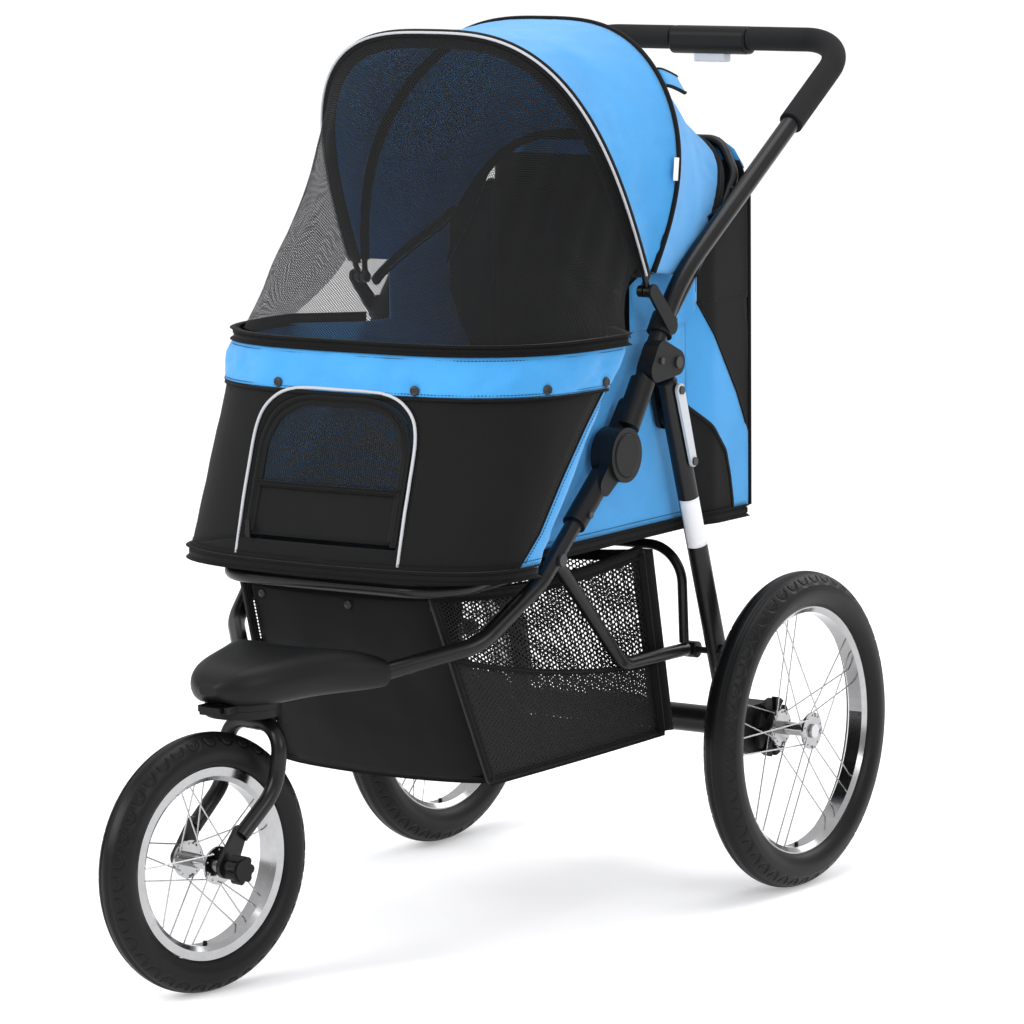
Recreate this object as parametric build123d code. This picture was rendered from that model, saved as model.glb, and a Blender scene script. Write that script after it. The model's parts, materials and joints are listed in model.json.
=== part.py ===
from build123d import *
import math
import os

# Folding three-wheel pet stroller. Millimetres. +Z up, -Y forward, +X the stroller's left.
# Every size below is measured from the rear axle line; the finished parts are moved so that
# the origin is the middle of the footprint on the ground.

# Driving dimensions: wheels
REAR_RADIUS, REAR_SECTION, REAR_FLANGE = 192.5, 23.8, 158.6
FRONT_RADIUS, FRONT_SECTION, FRONT_FLANGE = 146.0, 21.4, 108.2
TRACK_HALF = 263.2
SPOKES_PER_SIDE = 10
RUN = 0.05                      # radial clearance of a running fit
GAP = 0.3                       # clearance between neighbours

# Driving dimensions: frame joints in the YZ plane, as (y, z)
SEAT_PIVOT = (-428.0, 450.0)
ELBOW = (-299.0, 557.0)
LOCK_POINT = (-190.0, 655.0)
LEG_PIVOT = (-80.0, 294.0)
AXLE_Z = REAR_RADIUS
LEG_FOOT = (-39.0, AXLE_Z)
CANOPY_PIVOT = (-240.0, 742.0)

# Driving dimensions: tubes
UPPER_X, UPPER_R = 200.0, 11.0
LOWER_X, LOWER_R = 196.0, 10.0
SEAT_X, SEAT_R = 165.0, 8.0
LEG_X, LEG_R = 195.0, 12.5
WALL = 1.5
HANDLE_Y, HANDLE_Z, HANDLE_CORNER_R = 239.0, 1013.0, 62.0
GRIP_R, GRIP_START = 15.0, (96.0, 919.0)
HANDLE_BEND = (-165.0, 748.0)

# Driving dimensions: front end
SWIVEL_Y, SWIVEL_R = -760.0, 43.0
TRAIL, STEER = 63.0, -11.0
FORK_X, FORK_R = 42.0, 9.0

# Driving dimensions: soft parts
CABIN_SIDE_X, FABRIC = 172.0, 5.0
REAR_CORNER_X, REAR_WALL_Y = 185.0, 20.0
FLOOR_SLOPE = math.degrees(math.atan2(19.0, 600.0))

FRONT_EXTENT = SWIVEL_Y - TRAIL * math.cos(math.radians(STEER)) - (
    (FRONT_RADIUS - FRONT_SECTION) * math.cos(math.radians(STEER)) + FRONT_SECTION)
REAR_EXTENT = HANDLE_Y + 18.0
SHIFT = Pos(0, -(FRONT_EXTENT + REAR_EXTENT) / 2, 0)


# ---------------------------------------------------------------- helpers
def save(name, *shapes):
    """Write one node: its solids, moved to the part's frame."""
    solids = [SHIFT * solid for shape in shapes for solid in shape.solids()]
    export_step(Compound(children=solids), "parts/" + name + ".step")


def rod(start, end, radius):
    """Round bar between two points."""
    start, end = Vector(*start), Vector(*end)
    along = end - start
    return Plane(origin=start, z_dir=along) * Cylinder(
        radius, along.length, align=(Align.CENTER, Align.CENTER, Align.MIN))


def pipe(start, end, radius, bore):
    """Round tube between two points, cut square at both ends."""
    return rod(start, end, radius) - rod(start, end, bore)


def cross_pin(x0, x1, yz, radius):
    """Round bar along X at a point of the YZ plane."""
    return rod((x0, *yz), (x1, *yz), radius)


def bent(points, radii, outer, bore=0.0):
    """Tube along straight runs joined by tangent arcs."""
    path = FilletPolyline(*points, radius=radii)
    section = Circle(outer) - Circle(bore) if bore else Circle(outer)
    return sweep(Plane(origin=path @ 0, z_dir=path % 0) * section, path=path)


def both(shape):
    """The left piece and its mirror image."""
    return [shape, mirror(shape, about=Plane.YZ)]


def plate(x0, x1, discs):
    """Flat link between x0 and x1: the hull of discs given as (y, z, radius)."""
    flat = make_hull([edge for y, z, r in discs for edge in (Pos(y, z) * Circle(r)).edges()])
    return extrude(Plane(origin=(x0, 0, 0), x_dir=(0, 1, 0), z_dir=(1, 0, 0)) * flat, x1 - x0)


def along(start, end, distance):
    """The YZ point at a distance from start towards end."""
    length = math.dist(start, end)
    return tuple(a + (b - a) * distance / length for a, b in zip(start, end))


def arch(half_width, height, foot, lift_deg, exponent, count, bulge=0.0):
    """Points of a hoop that stands on the X line through foot, leaning at lift_deg."""
    points = []
    for i in range(count + 1):
        t = math.pi * i / count
        c, s = math.cos(t), math.sin(t)
        share = abs(s) ** (2 / exponent)
        x = half_width * math.copysign(abs(c) ** (2 / exponent), c) * (1 + bulge * math.sin(math.pi * share))
        up = height * share
        points.append((x, foot[0] + up * math.cos(math.radians(lift_deg)),
                       foot[1] + up * math.sin(math.radians(lift_deg))))
    return points


# ---------------------------------------------------------------- wheels
def tyre(radius, section, flange):
    """Inflated tyre with its bead gripping the rim flange, and the valve stem."""
    centre = radius - section
    clip = Polygon((14.6, flange + 0.4), (section + 2, flange + 9), (section + 2, radius + 5),
                   (-section - 2, radius + 5), (-section - 2, flange + 9), (-14.6, flange + 0.4),
                   align=None)
    ring = Pos(0, centre) * Circle(section) & clip
    body = revolve(Plane.XY * ring, axis=Axis.X)
    stem = Pos(0, 0, -(flange - 19)) * Cylinder(3.2, 30, align=(Align.CENTER, Align.CENTER, Align.MIN))
    return [body, stem]


def rim(flange):
    """Rolled channel rim with a hole for the valve."""
    f = flange
    profile = Polygon((-14, f), (-11.5, f), (-11.5, f - 7), (-8, f - 9), (8, f - 9), (11.5, f - 7),
                      (11.5, f), (14, f), (13.5, f - 10), (9, f - 15.5), (-9, f - 15.5), (-13.5, f - 10),
                      align=None)
    ring = revolve(Plane.XY * profile, axis=Axis.X)
    return ring - Pos(0, 0, -f - 5) * Cylinder(3.6, 40, align=(Align.CENTER, Align.CENTER, Align.MIN))


def spokes(half_spacing, hole_radius, flange):
    """Crossed wire spokes from the hub flanges to the rim."""
    wires = []
    reach = flange - 15.9
    step = 2 * math.pi / SPOKES_PER_SIDE
    for side in (-1, 1):
        for i in range(SPOKES_PER_SIDE):
            lean = math.radians(50) * (1 if i % 2 else -1)
            face = 4.6 if i % 2 else -2.6
            a = step * i + (step / 2 if side > 0 else 0)
            hub_end = (side * (half_spacing + face), hole_radius * math.cos(a), hole_radius * math.sin(a))
            rim_end = (side * 4.0, reach * math.cos(a + lean), reach * math.sin(a + lean))
            wires.append(rod(hub_end, rim_end, 0.9))
    return wires


def hub(half_spacing, flange_radius, bore, inner_end, outer_end):
    """Turned hub with two drilled flanges."""
    shell = rod((inner_end, 0, 0), (outer_end, 0, 0), 8.0)
    for side in (-1, 1):
        shell += rod((side * half_spacing - 1.5, 0, 0), (side * half_spacing + 1.5, 0, 0), flange_radius)
    for i in range(SPOKES_PER_SIDE):
        a = 2 * math.pi * (i + 0.5) / SPOKES_PER_SIDE
        hole = ((flange_radius - 3.5) * math.cos(a), (flange_radius - 3.5) * math.sin(a))
        shell -= cross_pin(-half_spacing - 5, half_spacing + 5, hole, 1.3)
    return shell - rod((inner_end - 1, 0, 0), (outer_end + 1, 0, 0), bore)


def brake_disc(x0, x1):
    """Notched plastic disc that the brake pin drops into."""
    disc = rod((x0, 0, 0), (x1, 0, 0), 36.5) - rod((x0 - 1, 0, 0), (x1 + 1, 0, 0), 8.0 + RUN)
    for i in range(8):
        notch = Pos((x0 + x1) / 2, 0, 30) * Box(x1 - x0 + 2, 9, 20)
        disc -= Rot(45 * i, 0, 0) * notch
    return disc


HUB_SPACING_REAR, HUB_SPACING_FRONT = 21.5, 25.0
AXLE_R = 6.0
DISC_IN, DISC_OUT = -37.0, -31.0
wheel_place = Pos(TRACK_HALF, 0, AXLE_Z)
rear_wheel = {
    "rear_tyre": tyre(REAR_RADIUS, REAR_SECTION, REAR_FLANGE),
    "rear_rim": [rim(REAR_FLANGE)],
    "rear_spokes": spokes(HUB_SPACING_REAR, 19.0, REAR_FLANGE),
    "rear_hub": [hub(HUB_SPACING_REAR, 22.5, AXLE_R + RUN, -39.0, 24.0)],
    "brake_disc": [brake_disc(DISC_IN, DISC_OUT)],
}

# ---------------------------------------------------------------- seat frame (root)
os.makedirs("parts", exist_ok=True)
for piece, shapes in rear_wheel.items():
    placed = [wheel_place * shape for shape in shapes]
    save(piece + "_left", *placed)
    save(piece + "_right", *[mirror(shape, about=Plane.YZ) for shape in placed])

SEAT_FRONT_Y, SEAT_BEND_Y, SEAT_LOW_Y = -600.0, -375.0, -235.0
seat_half = [(SEAT_X, -95, 296), (SEAT_X, SEAT_LOW_Y, 298), (SEAT_X, SEAT_BEND_Y, 437),
             (SEAT_X, SEAT_FRONT_Y, 430)]
seat_path = seat_half + [(-x, y, z) for x, y, z in reversed(seat_half)]
seat_tube = bent(seat_path, [30, 30, 60, 60, 30, 30], SEAT_R, SEAT_R - WALL)
for lug in both(plate(SEAT_X - 2, SEAT_X + 2, [(*SEAT_PIVOT, 9), (SEAT_PIVOT[0], 436, 8)])):
    seat_tube += lug
for eye in both(cross_pin(SEAT_X - 8, SEAT_X + 8, LEG_PIVOT, 10)):
    seat_tube += eye
for x0, yz in ((SEAT_X - 30, SEAT_PIVOT), (SEAT_X - 30, LEG_PIVOT)):
    for hole in both(cross_pin(x0, SEAT_X + 30, yz, 4 + RUN)):
        seat_tube -= hole
save("seat_tube", seat_tube)


def pivot_bolt(yz, x_out):
    """Shoulder bolt from the seat tube through a side tube, with a domed head."""
    bolt = cross_pin(SEAT_X - 10, x_out, yz, 4)
    bolt += cross_pin(x_out, x_out + 3.5, yz, 7.5)
    return bolt + cross_pin(SEAT_X - 14, SEAT_X - 10, yz, 7)


save("seat_pivot_bolts", *both(pivot_bolt(SEAT_PIVOT, LOWER_X + LOWER_R + 0.6)),
     *both(pivot_bolt(LEG_PIVOT, LEG_X + LEG_R + 0.6)))

hoop_top = 422.0
rear_hoop_path = [(SEAT_X, -98, 296 + SEAT_R + 1), (SEAT_X, -104, hoop_top),
                  (-SEAT_X, -104, hoop_top), (-SEAT_X, -98, 296 + SEAT_R + 1)]
save("seat_rear_hoop", bent(rear_hoop_path, [45, 45], 6.0, 4.8))

board = Box(2 * 146, 560, 6, align=(Align.CENTER, Align.MIN, Align.MIN))
save("floor_board", Pos(0, -585, 442.5) * Rot(FLOOR_SLOPE, 0, 0) * board)


# ---------------------------------------------------------------- cabin, door and basket
def rear_corner(inset):
    """Outline points of the rear corner, which widens to hang between the handle tubes."""
    x_rear, x_side = REAR_CORNER_X - inset, CABIN_SIDE_X - inset
    return [(x_rear, REAR_WALL_Y - inset), (x_rear, -60), (x_side, -112)]


def cabin_section(z, front_y, shoulder_y, side_y, width, inset):
    """Cabin outline at height z: straight sides between the tubes and a full, bowed front."""
    x_side, x_full, front = CABIN_SIDE_X - inset, width - inset, front_y + inset
    right = rear_corner(inset) + [(x_side, side_y)]
    bow = []
    for i in range(17):
        t = math.pi * i / 16
        c, s = math.cos(t), math.sin(t)
        bow.append((x_full * math.copysign(abs(c) ** (2 / 3.2), c),
                    shoulder_y + (front - shoulder_y) * abs(s) ** (2 / 3.2)))
    left = [(-x, y) for x, y in reversed(right)]
    return Pos(0, 0, z) * Polygon(*right, *bow, *left, align=None)


CABIN_Z0, RIM_Z, BACK_TOP = 453.0, 700.0, 846.0
CABIN_FRONT_LOW, CABIN_FRONT_HIGH = -622.0, -548.0


def cabin_block(inset, z0, z1):
    """Solid of the cabin's lower part between two heights, inset from the fabric's face."""
    sections = []
    for z in (z0, z1):
        k = (z - CABIN_Z0) / (RIM_Z - CABIN_Z0)
        sections.append(cabin_section(z, CABIN_FRONT_LOW + k * (CABIN_FRONT_HIGH - CABIN_FRONT_LOW),
                                      -505 + k * 175, -472 + k * 200, 226 + k * 10, inset))
    return loft(sections, ruled=True)


cabin = cabin_block(0, CABIN_Z0, RIM_Z)
cabin -= Pos(0, CABIN_FRONT_LOW, CABIN_Z0 - 5.1) * Rot(FLOOR_SLOPE, 0, 0) * Box(
    520, 660, 40, align=(Align.CENTER, Align.MIN, Align.MAX))
for pocket in both(Pos(SEAT_X, SEAT_PIVOT[0], SEAT_PIVOT[1]) * Box(38, 24, 24)):
    cabin -= pocket


def back_block(inset, z0):
    """Upper rear of the cabin, under a slope that climbs from the rim to the rear hoop."""
    corner = rear_corner(inset) + [(CABIN_SIDE_X - inset, -258)]
    outline = Polygon(*corner, *[(-x, y) for x, y in reversed(corner)], align=None)
    slope = Polygon((-258, RIM_Z), (-20, BACK_TOP), (REAR_WALL_Y + 1, BACK_TOP), (REAR_WALL_Y + 1, z0),
                    (-300, z0), align=None)
    slope = Pos(-inset, inset) * slope if inset else slope
    return extrude(Pos(0, 0, z0) * outline, 200, dir=(0, 0, 1)) & extrude(Plane.YZ * slope, 260, both=True)


cabin = cabin + back_block(0, RIM_Z - 1)
cabin = cabin - cabin_block(FABRIC, CABIN_Z0 + 20, RIM_Z + 1) - back_block(FABRIC, RIM_Z - 8)
# The rolled door fills an arched hole in the front wall, above its hinge line at the hem.
DOOR_HALF, DOOR_Z0, DOOR_Z1 = 105.0, CABIN_Z0 + 24, 640.0


def door_prism(inset):
    """Arched prism through the front wall."""
    half, top = DOOR_HALF - inset, DOOR_Z1 - inset
    outline = Polygon((-half, DOOR_Z0 + inset), (half, DOOR_Z0 + inset), (half, top - 55),
                      (half - 22, top - 14), (half - 55, top), (-half + 55, top),
                      (-half + 22, top - 14), (-half, top - 55), align=None)
    return extrude(Plane(origin=(0, -700, 0), x_dir=(1, 0, 0), z_dir=(0, -1, 0)) * outline, -260)


door = (cabin_block(0, CABIN_Z0, RIM_Z) - cabin_block(3, CABIN_Z0 - 1, RIM_Z + 1)) & door_prism(1.5)
save("front_door", door)
CABIN_CUT = door_prism(0)

puller = Pos(-DOOR_HALF + 10, CABIN_FRONT_LOW + 2, DOOR_Z0 + 12) * Box(6, 2.5, 20)
save("zipper_pull", puller)


def basket_section(z, front_half, rear_half, front, rear):
    """Flat outline of the storage basket at height z, narrower between the front tubes."""
    return Pos(0, 0, z) * Polygon((-front_half, front), (front_half, front), (rear_half, rear),
                                  (-rear_half, rear), align=None)


BASKET_TOP, BASKET_LOW = 408.0, 196.0
basket = loft([basket_section(BASKET_LOW, 150, 150, -495, -122), basket_section(BASKET_TOP, 130, 148, -582, -165)],
              ruled=True)
basket -= loft([basket_section(BASKET_LOW + 5, 145, 145, -489, -127),
                basket_section(BASKET_TOP + 1, 125, 143, -577, -170)], ruled=True)
save("storage_basket", basket)

# ---------------------------------------------------------------- front frame
LOWER_START = along(ELBOW, SEAT_PIVOT, 38)
lower_points = [(LOWER_X, *LOWER_START), (LOWER_X, -455, 427.6), (172, -545, 366), (100, -628, 341),
                (40, -722, 338)]
lower_tube = bent(lower_points, [90, 70, 70], LOWER_R, LOWER_R - WALL)
lower_tube -= cross_pin(150, 230, SEAT_PIVOT, 4 + RUN)
save("lower_tube_left", lower_tube)
save("lower_tube_right", mirror(lower_tube, about=Plane.YZ))

JOINT_R = 32.0


def elbow_lower():
    """Outer half of the elbow: disc, arm and socket for the lower tube."""
    body = cross_pin(197, 214, ELBOW, JOINT_R)
    body += plate(197, 210, [(*ELBOW, 18), (*along(ELBOW, SEAT_PIVOT, 50), 12)])
    socket_end = along(ELBOW, SEAT_PIVOT, 112)
    body += rod((LOWER_X, *along(ELBOW, SEAT_PIVOT, 36)), (LOWER_X, *socket_end), 14)
    body -= rod((LOWER_X, *LOWER_START), (LOWER_X, *along(ELBOW, SEAT_PIVOT, 130)), LOWER_R + RUN)
    body -= cross_pin(150, 196.7, ELBOW, JOINT_R + 1.0)
    return body - cross_pin(190, 220, ELBOW, 5 + RUN) - cross_pin(210.5, 220, ELBOW, 26)


elbow_outer = elbow_lower()
save("elbow_lower_left", elbow_outer)
save("elbow_lower_right", mirror(elbow_outer, about=Plane.YZ))
elbow_cap = cross_pin(211, 215.5, ELBOW, 25.5)
elbow_cap = fillet(elbow_cap.edges().group_by(Axis.X)[-1], 2.0)
save("elbow_caps", *both(elbow_cap))
rivet_spots = [along(ELBOW, SEAT_PIVOT, 96)]
save("sleeve_rivets", *[piece for spot in rivet_spots
                        for piece in both(cross_pin(LOWER_X + 14.1, LOWER_X + 16.5, spot, 4))])


COVER_HALF = 150.0


def cover_section(y, z, half, height):
    """Lens-shaped cross-section of the front cover."""
    return Plane(origin=(0, y, z), x_dir=(1, 0, 0), z_dir=(0, 1, 0)) * SlotOverall(2 * half, height)


cover = loft([cover_section(-824, 340, 12, 10), cover_section(-810, 341, 34, 32),
              cover_section(-770, 343, 58, 48), cover_section(-700, 346, 80, 50),
              cover_section(-632, 341, 112, 34)])
cover -= Pos(0, -604, 340) * Cylinder(76, 120)
cover &= Pos(COVER_HALF / 2, -700, 340) * Box(COVER_HALF, 400, 200)
cover -= bent(lower_points[1:], [70, 70], LOWER_R + GAP)
cover += mirror(cover, about=Plane.YZ)
cover -= Pos(0, SWIVEL_Y, 322) * Cylinder(SWIVEL_R + GAP, 50, align=(Align.CENTER, Align.CENTER, Align.MAX))
cover -= Pos(0, SWIVEL_Y, 321) * Cylinder(16 + GAP, 16, align=(Align.CENTER, Align.CENTER, Align.MIN))
cover -= Pos(0, SWIVEL_Y - 50, 300) * Box(48, 36, 46)
save("front_cover", cover)

TAB_PIN = (SWIVEL_Y - 49.0, 318.0)
housing = Pos(0, SWIVEL_Y, 314) * Cylinder(SWIVEL_R, 7.5, align=(Align.CENTER, Align.CENTER, Align.MIN))
housing += Pos(0, SWIVEL_Y, 314) * Cylinder(16, 22, align=(Align.CENTER, Align.CENTER, Align.MIN))
for sign in (1, -1):
    housing += Pos(sign * 18, SWIVEL_Y - 46, 317.7) * Box(5, 20, 7.4)
housing -= cross_pin(-25, 25, TAB_PIN, 2 + RUN)
housing -= Pos(0, SWIVEL_Y - 52, 317.7) * Box(31, 24, 12)
housing -= Pos(0, SWIVEL_Y, 320) * Cylinder(6 + RUN, 60)
save("swivel_housing", housing)
tab = Pos(0, TAB_PIN[0] - 4.5, 316.5) * Box(28, 17, 9) + cross_pin(-20, 20, TAB_PIN, 2)
save("swivel_lock_tab", tab)

# ---------------------------------------------------------------- fork and front wheel
steer = Pos(0, SWIVEL_Y, 0) * Rot(0, 0, STEER)
WHEEL_AT = Pos(0, -TRAIL, FRONT_RADIUS)
fork_plate = Pos(0, 0, 304.5) * Cylinder(42, 9, align=(Align.CENTER, Align.CENTER, Align.MIN))
fork_plate += Pos(0, 0, 304.5) * Cylinder(6, 30, align=(Align.CENTER, Align.CENTER, Align.MIN))
fork_half = [(39, -TRAIL + 21, FRONT_RADIUS + 32), (FORK_X, 9, 224), (FORK_X + 3, 16, 294)]
fork_path = fork_half + [(-x, y, z) for x, y, z in reversed(fork_half)]
fork = bent(fork_path, [60, 30, 30, 60], FORK_R, FORK_R - WALL)
for sign in (1, -1):
    dropout = plate(sign * 38 - 3, sign * 38 + 3, [(-TRAIL, FRONT_RADIUS, 13),
                                                   (-TRAIL + 20, FRONT_RADIUS + 35, 9)])
    fork += dropout
fork -= cross_pin(-60, 60, (-TRAIL, FRONT_RADIUS), 4 + RUN)
fork -= Pos(0, 0, 304.5 + 15) * Cylinder(60, 30)
save("fork", steer * fork)
save("fork_plate", steer * (fork_plate - fork))
front_axle = cross_pin(-50, 52, (-TRAIL, FRONT_RADIUS), 4)
front_axle += cross_pin(-47, -41.3, (-TRAIL, FRONT_RADIUS), 8)
save("front_axle", steer * front_axle)
knob = cross_pin(53, 68, (-TRAIL, FRONT_RADIUS), 12)
for i in range(7):
    a = 2 * math.pi * i / 7
    lobe_at = (-TRAIL + 11.5 * math.cos(a), FRONT_RADIUS + 11.5 * math.sin(a))
    knob += cross_pin(53, 66, lobe_at, 5)
knob += cross_pin(41.4, 53, (-TRAIL, FRONT_RADIUS), 8)
knob -= cross_pin(40, 52.5, (-TRAIL, FRONT_RADIUS), 4 + RUN)
save("axle_knob", steer * knob)

front_wheel = {
    "front_tyre": tyre(FRONT_RADIUS, FRONT_SECTION, FRONT_FLANGE),
    "front_rim": [rim(FRONT_FLANGE)],
    "front_spokes": spokes(HUB_SPACING_FRONT, 18.0, FRONT_FLANGE),
    "front_hub": [hub(HUB_SPACING_FRONT, 21.5, 4 + RUN, -34.0, 34.0)],
}
for piece, shapes in front_wheel.items():
    save(piece, *[steer * WHEEL_AT * shape for shape in shapes])

# ---------------------------------------------------------------- upper frame and handle
UPPER_START = along(ELBOW, HANDLE_BEND, 38)
upper_half = [(UPPER_X, *UPPER_START), (UPPER_X, *HANDLE_BEND), (UPPER_X, HANDLE_Y, HANDLE_Z)]
upper_path = upper_half + [(-x, y, z) for x, y, z in reversed(upper_half)]
handle_tube = bent(upper_path, [250, HANDLE_CORNER_R, HANDLE_CORNER_R, 250], UPPER_R, UPPER_R - WALL)
save("handle_tube", handle_tube)


def elbow_upper():
    """Inner half of the elbow: disc, arm and socket for the handle tube."""
    body = cross_pin(184, 196.7, ELBOW, JOINT_R)
    body += plate(186, 196.7, [(*ELBOW, 18), (*along(ELBOW, HANDLE_BEND, 60), 13)])
    body += rod((UPPER_X, *along(ELBOW, HANDLE_BEND, 36)), (UPPER_X, *along(ELBOW, HANDLE_BEND, 98)), 15)
    body -= rod((UPPER_X, *UPPER_START), (UPPER_X, *along(ELBOW, HANDLE_BEND, 120)), UPPER_R + RUN)
    body -= cross_pin(196.7, 230, ELBOW, JOINT_R + 1.0)
    return body + cross_pin(196.7, 210, ELBOW, 5)


elbow_inner = elbow_upper()
save("elbow_upper_pair", *both(elbow_inner))

BRACKET_DISCS = [(*along(ELBOW, HANDLE_BEND, 113), 14), (*along(ELBOW, HANDLE_BEND, 136), 15),
                 (*LOCK_POINT, 15)]
bracket = plate(195, 216, BRACKET_DISCS)
bracket -= rod((UPPER_X, *along(ELBOW, HANDLE_BEND, 90)), (UPPER_X, *along(ELBOW, HANDLE_BEND, 170)),
               UPPER_R + RUN)
save("hinge_brackets", *both(bracket))
bracket_rivets = [(LOCK_POINT, 7), (along(ELBOW, HANDLE_BEND, 126), 4)]
save("bracket_rivets", *[piece for spot, size in bracket_rivets
                         for piece in both(cross_pin(216.1, 218.5, spot, size))])

CLAMP_AT = 173.0
clamp = rod((UPPER_X, *along(ELBOW, HANDLE_BEND, CLAMP_AT - 12)),
            (UPPER_X, *along(ELBOW, HANDLE_BEND, CLAMP_AT + 12)), 15.5)
clamp += plate(211.7, 215.5, [(*along(ELBOW, HANDLE_BEND, CLAMP_AT), 10), (*CANOPY_PIVOT, 9)])
clamp += cross_pin(195, 211.7, CANOPY_PIVOT, 3)
clamp -= rod((UPPER_X, *along(ELBOW, HANDLE_BEND, 150)), (UPPER_X, *along(ELBOW, HANDLE_BEND, 195)),
             UPPER_R + RUN)
save("canopy_brackets", *both(clamp))

REAR_HOOP_X, REAR_HOOP_R = 180.0, 6.0
hoop_foot, hoop_low, hoop_high = (-160.0, 692.0), (-58.0, 792.0), (-2.0, 862.0)
hoop_half = [(REAR_HOOP_X, *hoop_foot), (REAR_HOOP_X, *hoop_low), (REAR_HOOP_X, *hoop_high),
             (150, 14, 902)]
hoop_points = hoop_half + [(-x, y, z) for x, y, z in reversed(hoop_half)]
hoop_bends = [200, 34, 34, 34, 34, 200]
rear_hoop = bent(hoop_points, hoop_bends, REAR_HOOP_R, REAR_HOOP_R - 1.2)
hoop_studs = both(cross_pin(REAR_HOOP_X, UPPER_X - UPPER_R - 0.1, along(hoop_low, hoop_high, 67), 5))
cabin -= CABIN_CUT
cabin -= bent(hoop_points, hoop_bends, REAR_HOOP_R + 1)
for stud, space in zip(hoop_studs, both(cross_pin(REAR_HOOP_X, UPPER_X, along(hoop_low, hoop_high, 67), 6))):
    rear_hoop += stud
    cabin -= space
save("cabin", cabin)
save("cabin_rear_hoop", rear_hoop)

GRIP_END_X = 57.0
grip_path = [(UPPER_X, *GRIP_START), (UPPER_X, HANDLE_Y, HANDLE_Z), (GRIP_END_X, HANDLE_Y, HANDLE_Z)]
grip_line = (HANDLE_Z - HANDLE_BEND[1]) / (HANDLE_Y - HANDLE_BEND[0])
grip_path[0] = (UPPER_X, GRIP_START[0], HANDLE_BEND[1] + grip_line * (GRIP_START[0] - HANDLE_BEND[0]))
grip = bent(grip_path, [HANDLE_CORNER_R], GRIP_R, UPPER_R + RUN)
save("handle_grips", *both(grip))
shell = Pos(0, HANDLE_Y, HANDLE_Z - 2.5) * Box(112, 33, 35)
shell = fillet(shell.edges().filter_by(Axis.X), 12)
shell = fillet(shell.edges().group_by(Axis.X)[0] + shell.edges().group_by(Axis.X)[-1], 4)
shell -= rod((-60, HANDLE_Y, HANDLE_Z), (60, HANDLE_Y, HANDLE_Z), UPPER_R + RUN)
shell -= Pos(0, HANDLE_Y, HANDLE_Z - 19) * Box(44.6, 16.6, 17)
save("handle_housing", shell)
trigger = Pos(0, HANDLE_Y, HANDLE_Z - 23.6) * Box(44, 16, 13)
save("fold_trigger", fillet(trigger.edges().filter_by(Axis.X), 3))


# ---------------------------------------------------------------- canopy
# Each hoop: half width, height, lean, foot in the YZ plane, exponent of its arch, bulge at mid-height.
FRONT_LIFT, FRONT_HEIGHT, FRONT_HALF = 114.7, 329.0, 207.0
MID_LIFT, MID_HEIGHT, MID_HALF, MID_BULGE = 72.8, 318.0, 198.0, 0.12
REAR_LIFT, REAR_HEIGHT, REAR_HALF, REAR_FOOT = 50.4, 284.0, 180.5, (-166.0, 685.0)
EXPONENT, REAR_EXPONENT = 3.0, 4.5
front_edge = (FRONT_HALF, FRONT_HEIGHT, FRONT_LIFT, CANOPY_PIVOT, EXPONENT, 0.0)
mid_edge = (MID_HALF, MID_HEIGHT, MID_LIFT, CANOPY_PIVOT, EXPONENT, MID_BULGE)
rear_edge = (REAR_HALF, REAR_HEIGHT, REAR_LIFT, REAR_FOOT, REAR_EXPONENT, 0.0)


def canopy_hoop(half, height, lift, foot, exponent, bulge):
    """Round spring-steel hoop with an eye at each foot."""
    points = arch(half, height, foot, lift, exponent, 20, bulge)
    path = Spline(*points)
    hoop = sweep(Plane(origin=path @ 0, z_dir=path % 0) * Circle(3.5), path=path)
    for x in (half, -half):
        hoop += cross_pin(x - 3.5, x + 3.5, foot, 7)
    for x in (half, -half):
        hoop -= cross_pin(x - 9, x + 9, foot, 3 + RUN)
    return hoop


save("canopy_front_hoop", canopy_hoop(*front_edge))
save("canopy_mid_hoop", canopy_hoop(*mid_edge))


def canopy_face(edge, offset, turn, start):
    """Closed D outline around a hoop's leaning plane, its flat edge a start distance from the foot."""
    half, height, lift, foot, exponent, bulge = edge
    lean = math.radians(lift + turn)
    plane = Plane(origin=(0, *foot), x_dir=(1, 0, 0), z_dir=(0, math.sin(lean), -math.cos(lean)))
    flat = []
    for x, y, z in arch(half + offset, height + offset, foot, lift, exponent, 40, bulge)[1:-1]:
        flat.append((x, math.hypot(y - foot[0], z - foot[1])))
    flat = [(x, up) for x, up in flat if up > start + 4]
    sign = 1 if plane.y_dir.Z > 0 else -1
    outline = [(x, sign * up) for x, up in [(flat[0][0], start)] + flat + [(flat[-1][0], start)]]
    return plane * Polygon(*outline, align=None)


def canopy_panel(first, second, turn, starts):
    """Fabric between two hoops, as a thin shell open at both hoops."""
    outer, inner = (loft([canopy_face(first, offset, turn, starts[0]), canopy_face(second, offset, 0, starts[1])],
                         ruled=True) for offset in (8.0, 5.5))
    return outer - inner - cross_pin(-300, 300, CANOPY_PIVOT, 44)


save("canopy_front_panel", canopy_panel(mid_edge, front_edge, 0.6, (40, 40)))
rear_panel = canopy_panel(mid_edge, rear_edge, -0.6, (60, 100))
rear_panel -= bent(hoop_points, hoop_bends, REAR_HOOP_R + GAP)
for lift in (0, 1):
    rear_panel -= Pos(0, 0, lift) * back_block(-0.5, RIM_Z - 1)
for sign in (1, -1):
    rear_panel -= rod((sign * UPPER_X, *HANDLE_BEND), (sign * UPPER_X, HANDLE_Y, HANDLE_Z), UPPER_R + GAP)
save("canopy_rear_panel", max(rear_panel.solids(), key=lambda solid: solid.volume))


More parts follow.
